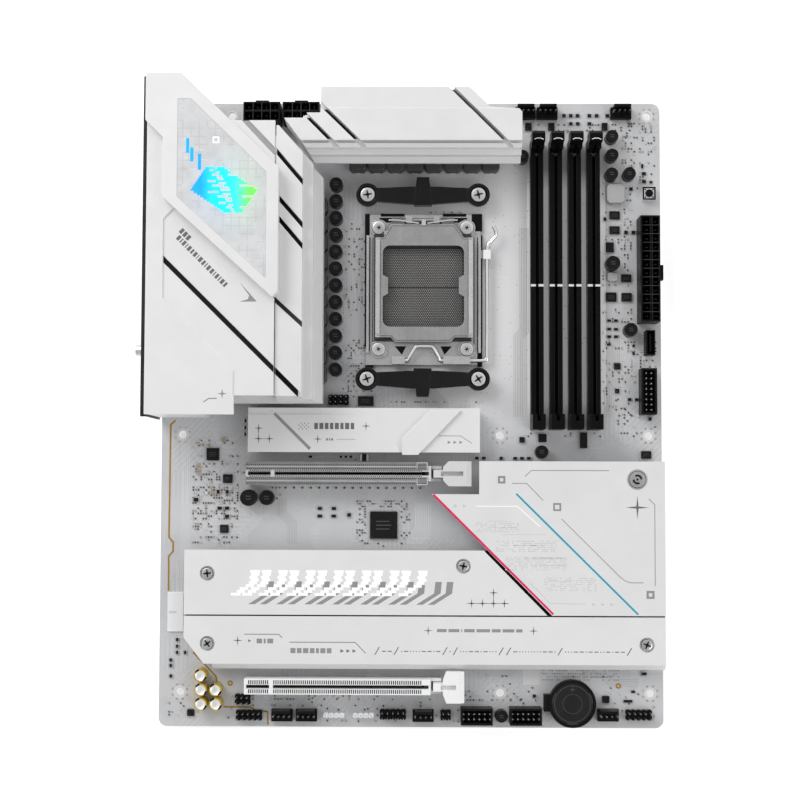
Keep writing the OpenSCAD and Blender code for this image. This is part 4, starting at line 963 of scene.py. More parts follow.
def part(made, x, y, length, width, kind=0, upright=False):
    """A surface-mount part with two tinned ends. Kinds: 0 black, 1 brown, 2 light."""
    height, end = 0.25 + 0.35 * width, 0.28 * width
    for place, size, low, high, tone, top in ((0, length - 0.5 * width, 0.02, height, kind, 0.96),
                                              ((end - length) / 2, end, 0, height * 0.98, 3, 1.0),
                                              ((length - end) / 2, end, 0, height * 0.98, 3, 1.0)):
        (dx, dy), (w, l) = ((0, place), (width, size)) if upright else ((place, 0), (size, width))
        made.block(x + dx, y + dy, w, l, BOARD_TOP + low, BOARD_TOP + high, tone, top)


def small_parts():
    """Large chip resistors where they stand out, then seeded rows of tiny parts around the circuits."""
    made = Shape()
    rows = [  # first x, y, step x, count, length, width, kind
        (196.7, 298.8, 3.35, 3, 2.6, 1.5, 0), (209.3, 298.8, 3.5, 2, 2.6, 1.5, 0),
        (200.1, 294.8, 3.4, 2, 2.5, 1.4, 0), (227.0, 240.8, 3.6, 2, 2.7, 1.6, 0),
        (218.5, 197.3, 3.3, 2, 2.6, 1.2, 0), (218.5, 193.1, 3.3, 2, 2.6, 1.2, 0),
        (218.5, 189.4, 3.3, 2, 2.6, 1.2, 0), (228.3, 158.7, 3.5, 2, 2.5, 1.3, 0),
        (28.7, 105.2, 3.6, 2, 2.9, 1.5, 0), (27.9, 113.2, 4.4, 2, 2.4, 1.8, 0),
        (77.5, 105.2, 6.8, 2, 2.8, 1.4, 0), (77.5, 101.5, 6.8, 2, 2.9, 1.4, 0),
        (153.8, 129.9, 3.4, 2, 2.6, 1.3, 0), (172.5, 129.9, 3.3, 3, 2.6, 1.3, 0),
        (198.6, 291.2, 10.6, 2, 1.6, 1.0, 1), (20.2, 135.8, 3.0, 2, 1.8, 1.0, 1),
        (60.7, 115.2, 4.1, 17, 1.3, 0.7, 0), (54.3, 115.2, 1.8, 3, 1.0, 0.6, 0),
        (87.6, 130.4, 2.4, 3, 1.9, 1.1, 0),
    ]
    singles = [  # x, y, length, width, kind
        (218.1, 298.8, 2.6, 1.5, 0), (209.3, 294.8, 2.6, 1.4, 0), (235.9, 269.9, 2.8, 1.5, 0),
        (235.9, 266.0, 2.8, 1.5, 0), (218.3, 185.6, 2.6, 1.2, 0), (32.3, 101.3, 2.9, 1.5, 0),
        (17.1, 109.3, 3.2, 1.8, 0), (165.7, 129.9, 2.4, 1.4, 0), (226.7, 12.9, 4.8, 1.2, 0),
        (229.2, 17.4, 2.4, 1.1, 0), (181.6, 15.2, 2.4, 1.4, 0), (40.9, 147.8, 1.9, 1.6, 0),
        (40.9, 144.5, 1.9, 1.6, 0), (40.9, 141.2, 1.9, 1.6, 0), (229.0, 296.0, 1.5, 1.2, 1),
        (22.0, 112.6, 2.0, 1.4, 2), (24.8, 112.6, 1.8, 1.4, 1), (18.2, 125.4, 2.6, 1.0, 1),
        (18.2, 123.4, 2.6, 1.0, 1), (30.4, 138.6, 2.8, 1.9, 1), (72.7, 130.4, 2.4, 1.1, 0),
        (99.0, 130.0, 4.0, 3.4, 0),
    ]
    for x, y, step, count, length, width, kind in rows:
        for k in range(count):
            part(made, x + step * k, y, length, width, kind)
    for x, y, length, width, kind in singles:
        part(made, x, y, length, width, kind)
    upright_ones = [  # x, y, length, width
        (239.4, 265.6, 1.9, 1.4), (216.8, 247.3, 2.4, 1.4), (230.4, 184.9, 2.0, 1.0),
        (230.4, 181.2, 2.2, 1.0), (238.3, 149.2, 2.4, 1.3), (91.7, 102.1, 2.7, 1.8),
        (235.2, 273.6, 2.6, 1.0), (229.6, 272.4, 2.6, 1.6), (229.6, 262.2, 2.6, 1.6),
        (234.6, 26.1, 2.7, 2.4),
    ]
    for x, y, length, width in upright_ones:
        part(made, x, y, length, width, upright=True)
    for x, y in ((8.7, 41.6), (8.7, 38.4), (8.7, 35.4), (12.6, 35.4), (5.7, 31.8), (5.7, 29.1), (5.8, 24.1)):
        part(made, x, y, 1.9, 1.5)
    fields = [  # low x, low y, high x, high y, step, share, seed
        (15, 88, 38, 140, 1.27, 0.34, 3), (95, 84, 122, 110, 1.27, 0.30, 5),
        (43, 106, 60, 116, 1.6, 0.10, 7), (215, 150, 243, 192, 1.5, 0.22, 9),
        (215, 196, 231, 262, 1.5, 0.20, 11), (225, 262, 243, 296, 1.4, 0.26, 13),
        (178, 288, 232, 296, 1.4, 0.26, 15), (88, 158, 104, 190, 1.25, 0.30, 17),
        (88, 198, 100, 246, 1.25, 0.16, 19), (128, 246, 150, 252, 1.3, 0.20, 21),
        (110, 154, 160, 158, 1.3, 0.30, 23), (30, 2, 240, 17, 1.5, 0.16, 25), (3, 2, 20, 12, 1.4, 0.24, 27),
        (30, 117, 215, 131, 1.6, 0.10, 29), (160, 140, 215, 143, 1.3, 0.20, 31),
        (222, 140, 243, 160, 1.5, 0.22, 33), (58, 155, 80, 165, 1.3, 0.25, 35),
        (70, 2, 240, 30, 1.8, 0.07, 37),
    ]
    for x0, y0, x1, y1, step, share, seed in fields:
        dice = random.Random(seed)
        upright = dice.random() < 0.5
        for j in range(int((y1 - y0) / step)):
            lively = dice.random() < 0.7
            for i in range(int((x1 - x0) / step)):
                draw, kind_draw, turn = dice.random(), dice.random(), dice.random()
                x, y = x0 + (i + 0.5) * step, y0 + (j + 0.5) * step
                if draw > share * (1.6 if lively else 0.3) or blocked(x, y, 0.9) or near_hole(x, y, HOLE_RIM):
                    continue
                kind = 0 if kind_draw < 0.55 else 1 if kind_draw < 0.75 else 2
                part(made, x, y, 0.98, 0.52, kind, upright != (turn < 0.25))
    made.piece("surface_parts", "chip_epoxy", "resistor ceramic light_mask tin")


def tracks():
    """Bundles of parallel tracks with 45-degree bends, vias, and the bright rings of the mounting holes."""
    made, low = Shape(), BOARD_TOP - 0.005
    bundles = [  # first x, y, run, bend up or down, run after, count, pitch, along y?
        (150, 150, 10, 6, 14, 7, 0.7, True), (135, 150, 5, -7, 8, 8, 0.7, True),
        (110, 127, 10, 5, 8, 8, 0.8, True), (160, 90, 5, 3, 14, 8, 0.9, True),
        (120, 88, 4, 4, 12, 9, 0.9, True), (62, 88, 9, -5, 8, 6, 0.8, True),
        (38, 88, 6, 7, 14, 6, 0.8, True), (216, 150, 14, 4, 20, 5, 0.9, True),
        (88, 196, 10, 3, 34, 4, 0.9, True), (172, 150, 40, 3, 50, 6, 0.8, True),
        (8, 60, 20, 2, 60, 5, 0.9, True), (70, 18, 6, 5, 20, 6, 0.8, False),
        (160, 20, 12, 4, 30, 6, 0.8, False), (205, 24, 9, -4, 14, 5, 0.8, False),
    ]
    for k, (x, y, run, bend, after, count, pitch, upright) in enumerate(bundles):
        for slip in (i * pitch for i in range(count)):
            turn = run - math.copysign(slip * math.tan(math.pi / 8), bend)
            points = [(0, slip), (turn, slip), (turn + abs(bend), slip + bend),
                      (run + abs(bend) + after, slip + bend)]
            points = [(x + q, y + p) if upright else (x + p, y + q) for p, q in points]
            made.line(points, 0.26, low, k % 2, FLAT)
    dice = random.Random(41)
    for _ in range(1500):
        x, y = dice.uniform(3, 241), dice.uniform(3, 302)
        if not blocked(x, y, 0.4) and not near_hole(x, y, HOLE_RIM):
            made.ring(x, y, 0.14, 0.32, low, BOARD_TOP + FLAT, 2, 8)
    for x, y in HOLES:
        made.ring(x, y, 2.15, 3.0, low, BOARD_TOP + FLAT, 0, 40)
        for dot in arc(x, y, 3.7, [math.tau * (k + 0.5) / 8 for k in range(8)]):
            made.ring(*dot, 0.2, 0.55, low, BOARD_TOP + INK, 3, 10)
    made.piece("board_tracks", "circuit_board", "light_mask dark_mask dark_mask tin")


def board_marks():
    """The gold line around the audio circuits, corner marks at the parts, and a block of plain dashes."""
    gold = Shape()
    for width, points in (
            (0.85, [(6.6, 148.0), (4.3, 145.8), (4.0, 91.0), (6.1, 88.6), (6.1, 84.2), (4.0, 81.8),
                    (4.1, 65.0)]),
            (0.85, [(16.4, 35.6), (27.6, 23.9), (28.1, 20.9)]),
            (0.8, [(31.4, 9.4), (44.1, 9.3), (46.8, 7.9), (52.7, 7.2), (52.9, 0.9)])):
        gold.line(points, width, BOARD_TOP, 0, 0.04)
    for x, y in ((34.5, 20.7), (222.2, 20.1)):
        gold.ring(x, y, 0.55, 1.35, BOARD_TOP, BOARD_TOP + 0.04, 0, 24)
    gold.piece("audio_guard_line", "circuit_board", "copper")

    marks, gap, arm = Shape(), 0.5, 1.2
    for low, high in solids("logic_chips") + solids("capacitors") + solids("pin_headers"):
        if high.x - low.x < 19:
            for x, y, side in ((low.x - gap, low.y - gap, 1), (high.x + gap, high.y + gap, -1)):
                marks.line([(x + arm * side, y), (x, y), (x, y + arm * side)], 0.14, BOARD_TOP, 0, FLAT)
    marks.box((176.2, 20.6, BOARD_TOP), (184.2, 28.4, BOARD_TOP + FLAT), 1)
    dice = random.Random(61)
    for row in range(4):
        for k in range(34):
            if dice.random() < 0.55:
                marks.block(186.0 + 1.1 * k, 27.4 - 1.5 * row, 0.7, 0.5, BOARD_TOP, BOARD_TOP + FLAT)
    marks.piece("board_marks", "circuit_board", "soft_ink light_mask")

    plate, top = Shape(), BOARD_TOP + 0.8
    plate.box((3.7, 45.3, BOARD_TOP), (11.6, 64.6, top), 0, 0.97)
    plate.box((4.4, 54.3, top - 0.02), (8.2, 55.4, top + 0.06), 1)
    plate.piece("edge_plate", "white_plastic", "white_plastic panel", bevel=0.1)


small_parts()
tracks()
board_marks()


# ---- Printed decoration: plain geometric marks only ----

def star(made, x, y, reach, z, finish=0, waist=0.16):
    """A four-pointed mark."""
    tips, waists = ([k * math.pi / 2 + turn for k in range(4)] for turn in (0.0, math.pi / 4))
    pairs = zip(arc(x, y, reach, tips), arc(x, y, reach * waist, waists))
    made.mark([point for pair in pairs for point in pair], z, finish)


def arrows(made, x, y, count, size, z, finish=0, step=2.9):
    for left in (x + k * step for k in range(count)):
        made.mark([(left, y - size / 2), (left + size, y), (left, y + size / 2)], z, finish)


def dashes(made, x, y, lengths, height, z, finish=0, gap=0.9, turn=0.0):
    """A row of plain bars: where the real board has wording, this stands in its place."""
    c, s, run = math.cos(turn), math.sin(turn), 0.0
    for length in lengths:
        corners = [(run, 0), (run + length, 0), (run + length, height), (run, height)]
        made.mark([(x + c * a - s * b, y + s * a + c * b) for a, b in corners], z, finish)
        run += length + gap


def hollow_square(made, x, y, size, z, finish=0, weight=0.25):
    a, w = size / 2, size * weight
    made.boxes([(x - a, x + a, y + a - w, y + a), (x - a, x + a, y - a, y - a + w),
                (x + a - w, x + a, y - a + w, y + a - w), (x - a, x - a + w, y - a + w, y + a - w)],
               z, z + INK, finish)


def lines(made, z, *rows):
    """Printed lines, each given as width, finish and points."""
    for width, tone, *points in rows:
        made.line(points, width, z, tone)


def pixel_banner():
    """Two layers of slanted chevrons: white ones with stepped edges over the grey shadow of plain ones."""
    top = span("drive_cover_middle")[1].z
    count, pitch, bar, gap = 7, 13.4, 3.9, 1.6
    rows, row_height, slant, low_y, drop = 9, 1.36, 1.15, 63.6, 4.7
    shadow, bright = Shape(), Shape()

    def reach(row):
        """How far a chevron's row lies to the right of its lowest one."""
        return row * slant + rows // 2 - abs(row - rows // 2)

    for left in (35.6 + k * pitch for k in range(count)):
        starts = [left, left + bar + gap] if left < 35.6 + (count - 1.5) * pitch else [left]
        for start in starts:
            for row in range(rows):
                x, y = start + reach(row) + 0.7 * (row % 2), low_y + row * row_height
                wide = bar + (0.8 if row in (0, rows - 1) else 0.0)
                bright.box((x, y, top), (x + wide, y + row_height, top + 3 * INK))
        for start in (left + 8.4, left + 8.4 + bar + gap):
            bends = [(start + reach(row), low_y - drop + (row + 0.5) * row_height)
                     for row in (0, rows // 2, rows - 1)]
            for (xa, ya), (xb, yb) in zip(bends, bends[1:]):
                shadow.mark([(xa, ya), (xa + bar * 0.8, ya), (xb + bar * 0.8, yb), (xb, yb)], top)
    shadow.piece("banner_shadow", "satin_white", "soft_ink")
    bright.piece("banner_bars", "satin_white", "white_ink")


def cover_prints():
    """Marks on the middle cover, then on the chipset heatsink."""
    made, dice = Shape(), random.Random(5)
    z = span("drive_cover_middle")[1].z
    for x, y, reach in ((150.9, 60.3, 2.3), (156.1, 60.3, 2.3), (161.4, 60.3, 2.3), (166.6, 60.3, 2.3),
                        (161.4, 65.4, 2.3), (39.1, 42.3, 2.4), (130.2, 47.3, 2.3), (180.5, 47.3, 2.3)):
        star(made, x, y, reach, z)
    lines(made, z, (0.22, 0, (148.6, 60.3), (168.7, 60.3)), (0.22, 0, (161.4, 60.3), (161.4, 65.4)),
          (0.32, 0, (42.2, 45.3), (58.7, 45.3), (60.4, 43.6)),
          (0.32, 0, (63.7, 41.6), (95.3, 41.6), (100.3, 36.5)))
    arrows(made, 44.2, 42.2, 1, 1.3, z)
    arrows(made, 88.3, 37.5, 3, 1.7, z)
    dashes(made, 48.2, 41.0, (2.6, 0.9, 2.8), 2.2, z, 1, 0.8)
    dashes(made, 64.4, 36.4, (2.4, 2.2, 2.6, 2.2, 1.4, 2.4, 2.2), 2.4, z, 1, 0.7)
    dashes(made, 134.4, 46.6, (4.6, 5.2, 0.5, 5.0, 6.4, 4.2, 5.6, 3.0), 1.5, z, 1)
    x = 104.5
    while x < 228:
        length = dice.choice((0.5, 0.5, 1.9, 1.9, 0.0))
        if length:
            made.mark([(x, 37.2), (x + length, 37.2), (x + length, 37.65), (x, 37.65)], z)
            x += length + 0.9
        else:
            made.mark([(x, 35.8), (x + 0.5, 35.8), (x + 2.6, 39.4), (x + 2.1, 39.4)], z)
            x += 3.6

    z = span("chipset_heatsink")[1].z
    hollow_square(made, 165.3, 119.4, 3.6, z, 1, 0.28)
    hollow_square(made, 191.9, 106.4, 3.8, z, 1, 0.22)
    hollow_square(made, 236.3, 64.7, 3.8, z, 1, 0.28)
    lines(made, z, (0.35, 1, (170.2, 117.7), (177.3, 117.7), (185.2, 109.5)),
          (0.35, 1, (176.5, 121.0), (179.6, 123.9), (216.8, 123.9)),
          (0.35, 1, (194.0, 100.7), (222.1, 72.9), (224.4, 71.2), (227.0, 70.4), (233.1, 70.4)),
          (0.35, 1, (235.8, 110.4), (238.6, 107.7), (238.6, 69.0)))
    star(made, 230.3, 106.3, 5.6, z, 0, 0.13)
    made.piece("cover_prints", "satin_white", "ink soft_ink")

    accent = Shape()
    lines(accent, z, (0.9, 0, (172.3, 112.7), (230.4, 55.3)), (1.0, 1, (132.6, 112.2), (189.9, 55.3)))
    accent.piece("accent_lines", "satin_white", "cyan_ink magenta_ink")


def heatsink_pattern():
    """Faint seeded dashes and lines on the chipset heatsink."""
    ghost, dice, z = Shape(), random.Random(12), span("chipset_heatsink")[1].z
    step_x, step_y, wide, high = 1.1, 0.95, 0.75, 0.45
    for x0, x1, y0, y1 in ((153.0, 174.0, 94.5, 100.0), (162.5, 192.5, 85.0, 91.6),
                           (167.0, 197.0, 76.2, 83.0), (185.5, 211.5, 66.5, 73.4)):
        for x in (x0 + step_x * i for i in range(int((x1 - x0) / step_x))):
            for y in (y0 + step_y * j for j in range(int((y1 - y0) / step_y))):
                if dice.random() < 0.62:
                    ghost.box((x, y, z), (x + wide, y + high, z + INK))
    for y in (99.6, 96.4, 93.2, 88.0, 82.0, 78.6, 71.0):
        left = 258.4 - y
        lines(ghost, z, (0.2, 0, (left, y), (left + dice.uniform(9, 22), y)))
    lines(ghost, z, (0.4, 1, (153.0, 106.7), (172.8, 106.7), (183.7, 96.9)),
          (0.3, 0, (178.9, 70.2), (188.4, 60.5), (205.6, 60.2)))
    arrows(ghost, 142.4, 106.8, 2, 1.8, z, 0, 4.3)
    arrows(ghost, 208.6, 60.0, 3, 1.6, z, 0, 4.3)
    ghost.piece("heatsink_ghost_pattern", "satin_white", "ghost_ink white_ink")


def round_badge():
    """A raised disc with a ring, two arcs and a dot."""
    badge, z = Shape(), span("chipset_heatsink")[1].z
    x, y, low, high = 230.4, 119.7, z + 0.09, z + 0.13
    badge.turned(x, y, [(4.9, z), (4.9, z + 0.05), (4.7, z + 0.1), (0.05, z + 0.1)], 0, 48)
    badge.ring(x, y, 3.9, 4.15, low, z + 0.12, 1, 48)
    for turn in (0.0, math.pi):
        badge.line(arc(x, y, 1.9, [turn + 0.35 * k for k in range(7)]), 0.95, low, 1, 0.04)
    badge.turned(x, y, [(0.55, low), (0.55, high)], 1, 20)
    badge.piece("round_badge", "satin_white", "screw dark_groove")


def upper_cover_prints():
    made, z = Shape(), span("drive_cover_upper")[1].z
    for x, y in ((48.4, 143.9), (48.3, 138.8), (53.6, 138.8), (76.9, 138.7), (100.1, 145.0)):
        star(made, x, y, 2.3, z)
    lines(made, z, (0.2, 0, (48.3, 138.8), (48.3, 143.9)), (0.2, 0, (48.3, 138.8), (53.6, 138.8)),
          (0.2, 1, (86.0, 138.6), (95.0, 138.6)))
    for i in range(6):
        for j in range(i % 2, 4, 2):
            made.block(67.8 + 0.9 * i, 143.6 + 0.9 * j, 0.45, 0.45, z, z + INK)
    dashes(made, 75.2, 143.5, (1.7, 1.9, 1.7, 1.6, 1.9, 1.5, 2.0, 1.6), 3.0, z, 0, 0.75)
    dashes(made, 80.9, 138.0, (1.0, 0.5, 1.1), 1.1, z, 1, 0.4)
    made.piece("upper_cover_marks", "satin_white", "ink soft_ink", "drive_cover_upper")
    made, z = Shape(), 11.5
    arrows(made, 139.4, 137.3, 3, 1.6, z, 0, 2.8)
    lines(made, z, (0.3, 0, (135.2, 140.4), (145.6, 140.4), (151.2, 136.8)))
    made.piece("upper_cover_arrows", "satin_white", "soft_ink", "drive_cover_upper")
    # Painted shade: a grey strip along the floor of the cover's slanted groove.
    made = Shape()
    made.line([(55.8, 151.1), (73.0, 134.1)], 1.4, 11.21, 0, 0.04)
    made.piece("upper_cover_groove_painted_shade", "satin_white", "grey_groove", "drive_cover_upper")


def rear_cover_prints():
    made, z, turn = Shape(), 39.7, math.radians(-45)
    dashes(made, 13.2, 234.4, (1.6, 1.6, 1.6), 2.6, z, 0, 0.6, turn)
    bars = (1.5, 0.6, 1.4, 0.5, 1.5, 1.0, 1.4, 0.4, 1.6, 1.2, 0.5, 1.5, 1.4, 0.5, 1.3, 0.6, 1.5, 1.1)
    dashes(made, 11.9, 231.2, bars, 2.5, z, 0, 0.75, turn)
    arrow = [(41.8, 210.8), (46.9, 205.2), (49.9, 201.8), (41.9, 201.7), (45.8, 202.9), (46.4, 204.6)]
    made.mark(arrow, z, 1)
    made.piece("rear_cover_marks", "satin_white", "ink soft_ink")
    made, z = Shape(), 40.4
    star(made, 34.3, 158.8, 2.3, z, waist=0.22)
    lines(made, z, (0.5, 0, (25.6, 154.9), (28.2, 156.6), (31.8, 156.6)))
    made.piece("rear_cover_corner_mark", "satin_white", "soft_ink")


def window_prints():
    """The frosted window's emblem, stepped bars in a tilted lozenge, and the fine lines around it."""
    glow, top = Shape(), span("light_window")[1].z
    rows, row_height, middle_x, middle_y = 21, 1.02, 34.6, 253.2
    breaks = {2: (-0.35, 0.05, 0.6), 4: (-0.55, -0.2, 1.0)}
    for row in range(rows):
        above = row - rows / 2
        half = 4.0 + 11.5 * (1 - abs(above + 0.5) / (rows / 2))
        x, y = middle_x - above * 0.42, middle_y + above * row_height
        end, start, last = breaks.get(row % 5, (-0.1, 0.18, 1.0))
        for a, b in ((-1.0, end), (start, last)):
            glow.box((x + half * a, y, top), (x + half * b, y + row_height * 0.97, top + 2 * INK))
    for x, y, height in ((17.0, 270.5, 7.0), (19.0, 266.5, 6.5), (22.6, 262.6, 7.5)):
        glow.box((x, y, top), (x + 1.5, y + height, top + 2 * INK))
    glow.piece("window_emblem", "light_window", "emblem")

    fine, dice = Shape(), random.Random(9)
    for x, y, size, tone in ((15.2, 291.5, 2.9, 1), (30.9, 276.6, 3.2, 0), (48.4, 227.4, 3.2, 1)):
        hollow_square(fine, x, y, size, top, tone)
    for y in (240.0 + 1.3 * k for k in range(9)):
        lines(fine, top, (0.25, 1, (48.6, y), (48.6 + dice.uniform(2, 5), y)))
    for k in range(14):
        x, y = dice.uniform(15, 24), dice.uniform(262, 288)
        lines(fine, top, (0.12, k % 2, (x, y), (x + dice.uniform(1, 4), y)))
    lines(fine, top, (0.2, 1, (13.8, 284.0), (13.8, 256.0)), (0.3, 1, (17.2, 290.0), (21.0, 286.2)),
          (0.2, 1, (24, 262), (30, 240), (36.5, 232.5), (52.5, 236.5)),
          (0.16, 1, (24, 268), (45, 268), (52, 262)))
    fine.piece("window_lines", "light_window", "white_ink panel")


def painted_slot_shade():
    """Painted shade: dark floors of the slanted slots in the covers and heatsinks, and of the gaps between
    the covers.
    """
    made = Shape()

    def between(a, b, start, end, width, z, tone=0, level=False):
        """A strip along the line from a to b, cut upright at two x, or level at two y."""
        if level:
            a, b = a[::-1], b[::-1]
        rise = (b[1] - a[1]) / (b[0] - a[0])
        half = width / 2 * math.hypot(1.0, rise)
        y0, y1 = (a[1] + (x - a[0]) * rise for x in (start, end))
        outline = [(start, y0 - half), (end, y1 - half), (end, y1 + half), (start, y0 + half)]
        made.prism([p[::-1] for p in outline] if level else outline, z, z + 0.04, tone)

    between((3, 224.7), (60, 168.2), 6.1, 57.9, 2.3, 38.7)
    between((56, 172.2), (74, 154.3), 58.4, 69.0, 2.3, 34.0)
    for left, right, tone in ((274.7, 254.7, 0), (253.9, 234.4, 0), (244.3, 224.4, 0), (204, 188.5, 2)):
        between((57, left), (74, right), 58.4, 70.6, 1.9, 34.0, tone)
    for a, b, end, tone in (((70, 293.2), (86.8, 276.2), 291.1, 0), ((78, 297.3), (99.6, 276.2), 295.1, 0),
                            ((139.4, 306.2), (169.3, 276.3), 304.7, 2)):
        between(a, b, 281.0, end, 1.8, 28.0, tone, True)
    made.prism([(42.0, 287.3), (45.5, 287.3), (57.7, 274.4), (57.7, 270.7)], 37.6, 37.64, 1)
    made.piece("painted_slot_shade", "black_plastic", "dark_groove grey_groove dark_ferrite")
    # Painted shade: dark strips in the gaps between the covers.
    made = Shape()
    made.box((14.0, 53.92, 10.0), (243.5, 54.58, 10.6))
    made.line([(157.9, 85.2), (188.0, 54.8)], 1.3, 7.6, 0, 0.3)
    made.piece("cover_gap_painted_shade", "black_plastic", "dark_groove")


pixel_banner()
cover_prints()
heatsink_pattern()
round_badge()
upper_cover_prints()
rear_cover_prints()
window_prints()
painted_slot_shade()


# ---- Rear connectors and underside ----

def port_details():
    """Gold contacts on the port tongues, and the network jack's contacts and lights."""
    made, jack_y = Shape(), 209
    for y in (270.0, 250.5, 231.0):
        for z in (1.6, 18.2):
            for k in range(4):
                made.block(4.0, y + (k - 1.5) * 2.5, 7.0, 1.1, z + 6.55, z + 6.75)
    for k in range(8):
        made.block(6.0, jack_y + (k - 3.5) * 1.02, 8.0, 0.4, 19.0, 19.3)
    for y, colour in ((jack_y - 6.9, 1), (jack_y + 6.9, 2)):
        made.box((-2.56, y - 0.9, 28.0), (-2.3, y + 0.9, 29.8), colour)
    made.piece("port_contacts", "port_steel", "gold amber green_plastic")


def solder_joints():
    """Soldered pins on the underside, in rows below the parts they belong to."""
    made = Shape()

    def joint(x, y, r=0.55):
        made.turned(x, y, [(r, 0.0), (r * 0.8, -0.2), (r * 0.35, -0.65), (r * 0.15, -0.9)], 0, 8)

    def steps(low, high, edge, pitch):
        while low < high - edge * 0.4:
            yield low
            low += pitch

    for pitch_x, pitch_y, edge, nodes in (
            (4.2, 4.2, 2.6, ("cpu_power_connectors", "main_power_connector")),
            (2.54, 2.54, 1.27, ("pin_headers",)),
            (2.54, 2.54, 2.2, ("usb_headers",)), (2.54, 2.54, 1.6, ("fan_headers",)),
            (3.5, 9.0, 1.5, ("capacitors",)), (3.0, 9.0, 1.5, ("audio_capacitors",)),
            (2.5, 2.5, 3.0, ("usb_ports", "video_ports", "network_port")), (4.0, 3.0, 2.5, ("audio_jacks",)),
            (5.0, 5.0, 3.0, ("antenna_module",))):
        for low, high in [pair for node in nodes for pair in solids(node) if pair[0].z <= 3.0]:
            for x in steps(max(low.x, 2.0) + edge, high.x, edge, pitch_x):
                for y in steps(low.y + edge, high.y, edge, pitch_y):
                    joint(x, y)
    for node in ("expansion_slot_upper", "expansion_slot_lower"):
        low, high = span(node)
        for i in range(82):
            for y in (low.y + 1.8, low.y + 3.8):
                joint(low.x + 2.3 + i, y + 1.2 * (i % 2), 0.32)
    made.piece("solder_joints", "switch_metal", "tin")
    under, dice = Shape(), random.Random(51)
    for _ in range(500):
        x, y = dice.uniform(6, 238), dice.uniform(6, 299)
        behind_socket = 92 < x < 163 and 160 < y < 266
        if blocked(x, y, 1.0) or behind_socket or near_hole(x, y, 6):
            continue
        w, l = (1.0, 0.55) if dice.random() < 0.5 else (0.55, 1.0)
        under.block(x, y, w, l, -0.45, 0.0, 0 if dice.random() < 0.6 else 1)
    under.piece("underside_parts", "chip_epoxy", "ceramic resistor")


def latch_highlights():
    """A painted highlight: the white line along the top of each memory latch."""
    for k, latch in enumerate(numbered("memory_latch"), 1):
        low, high = span(latch)
        x, made = (low.x + high.x) / 2, Shape()
        # Painted highlight, in the white finish used for print.
        made.line([(x - 2.1, 282.9), (x - 0.9, 283.4), (x + 0.9, 283.4), (x + 2.3, 282.8)], 0.3, high.z)
        made.piece(f"latch_painted_highlight_{k}", "white_plastic", "white_ink", latch)


def battery_marks():
    """A raised rim, a plus sign and three clips on the coin cell."""
    low, high = span("battery")
    (x, y), r, top, made = middle(low, high), (high.x - low.x) / 2, high.z, Shape()
    base = top - SUNK
    made.ring(x, y, r - 1.5, r - 1.15, base, top + 0.05, 0, 48)
    made.ring(x, y, r * 0.45, r * 0.45 + 0.25, base, top + INK, 0, 40)
    for rise, w, l in ((0, 2.2, 0.4), (0.65, 0.4, 0.9), (-0.65, 0.4, 0.9)):
        made.block(x, y + r * 0.68 + rise, w, l, base, top + INK)
    for turn in (0.3, math.pi - 0.3, math.pi * 1.5):
        made.line(arc(x, y, r - 0.4, [turn + 0.09 * k for k in range(-3, 4)]), 0.5, base, 0, 0.06)
    made.piece("battery_marks", "battery_steel", "dark_ferrite")


def start_switch_frame():
    """Dark frame with corner rivets on the start button's switch body."""
    low, high = max(solids("button_switches"), key=lambda pair: pair[0].x)
    made, top, edge, inset = Shape(), high.z, 0.75, 1.3
    made.boxes([(low.x, high.x, low.y, low.y + edge), (low.x, high.x, high.y - edge, high.y),
                (low.x, low.x + edge, low.y + edge, high.y - edge),
                (high.x - edge, high.x, low.y + edge, high.y - edge)], top - SUNK, top + 0.05)
    for x in (low.x + inset, high.x - inset):
        for y in (low.y + inset, high.y - inset):
            made.turned(x, y, [(0.42, top - SUNK), (0.42, top + 0.08), (0.3, top + 0.12)], 0, 14)
    made.piece("start_switch_frame", "switch_metal", "plastic")


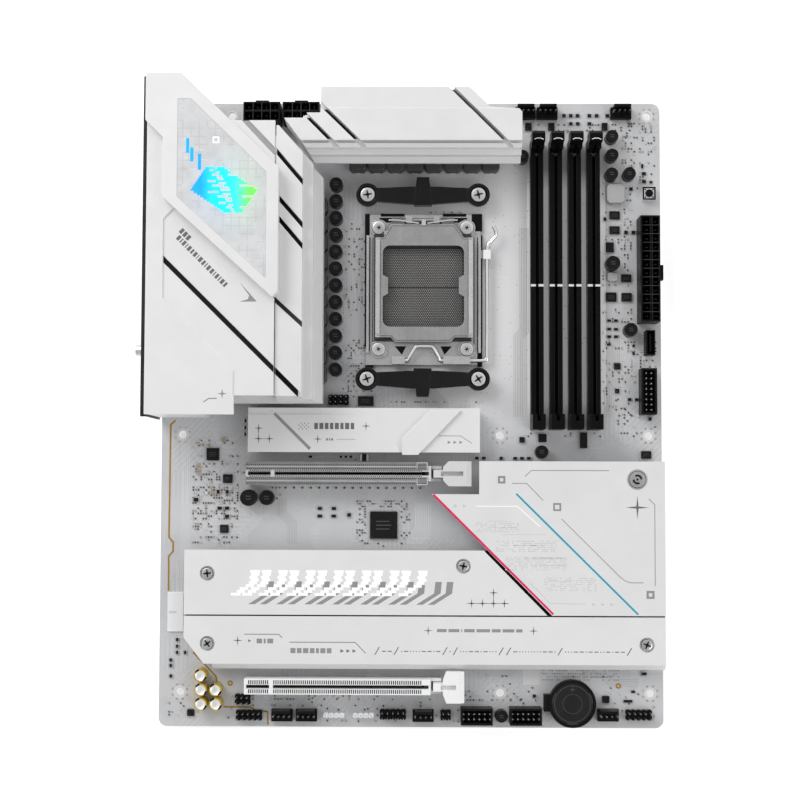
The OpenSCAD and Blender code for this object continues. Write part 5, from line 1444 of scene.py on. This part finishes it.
port_details()
solder_joints()
latch_highlights()
battery_marks()
start_switch_frame()


# ---- Floor, light and camera ----

def stage():
    """A pale floor, a sky that is brightest near the horizon and at the top edge, and two soft lamps."""
    floor_z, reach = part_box("socket_backplate")[0].z - 0.0004, 3.0
    data = bpy.data.meshes.new("floor")
    data.from_pydata([(x * reach, y * reach, floor_z) for x, y in ((-1, -1), (1, -1), (1, 1), (-1, 1))],
                     [], [(0, 1, 2, 3)])
    data.materials.append(FINISHES["floor"].material)
    placed("floor", data)

    world = bpy.data.worlds.new("studio")
    bpy.context.scene.world = world
    world.use_nodes = True
    tree = world.node_tree
    way = add_node(tree, "SeparateXYZ", (0, add_node(tree, "TexCoord").outputs["Generated"])).outputs
    high = add_node(tree, "MapRange", ("Value", way[2]), ("From Min", 0.72), ("From Max", 0.97),
                    ("To Min", 0.88), ("To Max", 0.30), interpolation_type="SMOOTHSTEP").outputs[0]
    lean = add_node(tree, "Math", (0, way[1]), (1, 0.32), (2, 0.98), operation="MULTIPLY_ADD").outputs[0]
    strength = add_node(tree, "Math", (0, high), (1, lean), operation="MULTIPLY").outputs[0]
    background = tree.nodes["Background"]
    background.inputs["Color"].default_value = grey(1.0)
    tree.links.new(strength, background.inputs["Strength"])

    target = Vector((0, 0.04, 0))
    for name, place, size, power in (("key", (-0.75, 0.85, 0.80), 0.7, 9.0),
                                     ("fill", (0.9, -0.5, 0.8), 0.8, 4.0)):
        light = bpy.data.lights.new(name, "AREA")
        light.size, light.energy = size, power
        lamp = placed(name, light)
        lamp.location = place
        lamp.rotation_euler = (target - Vector(place)).to_track_quat("-Z", "Y").to_euler()


def camera():
    """The photograph's view: almost straight down, from 0.72 m."""
    data = bpy.data.cameras.new("camera")
    data.lens, data.sensor_width, data.clip_start = 66.25, 36.0, 0.01
    thing = placed("camera", data)
    thing.location = (-0.00095, 0.04011, 0.720)
    thing.rotation_euler = (math.radians(3.135), math.radians(0.514), math.radians(0.166))
    bpy.context.scene.camera = thing


stage()
camera()
bpy.context.scene.view_settings.view_transform = "Standard"
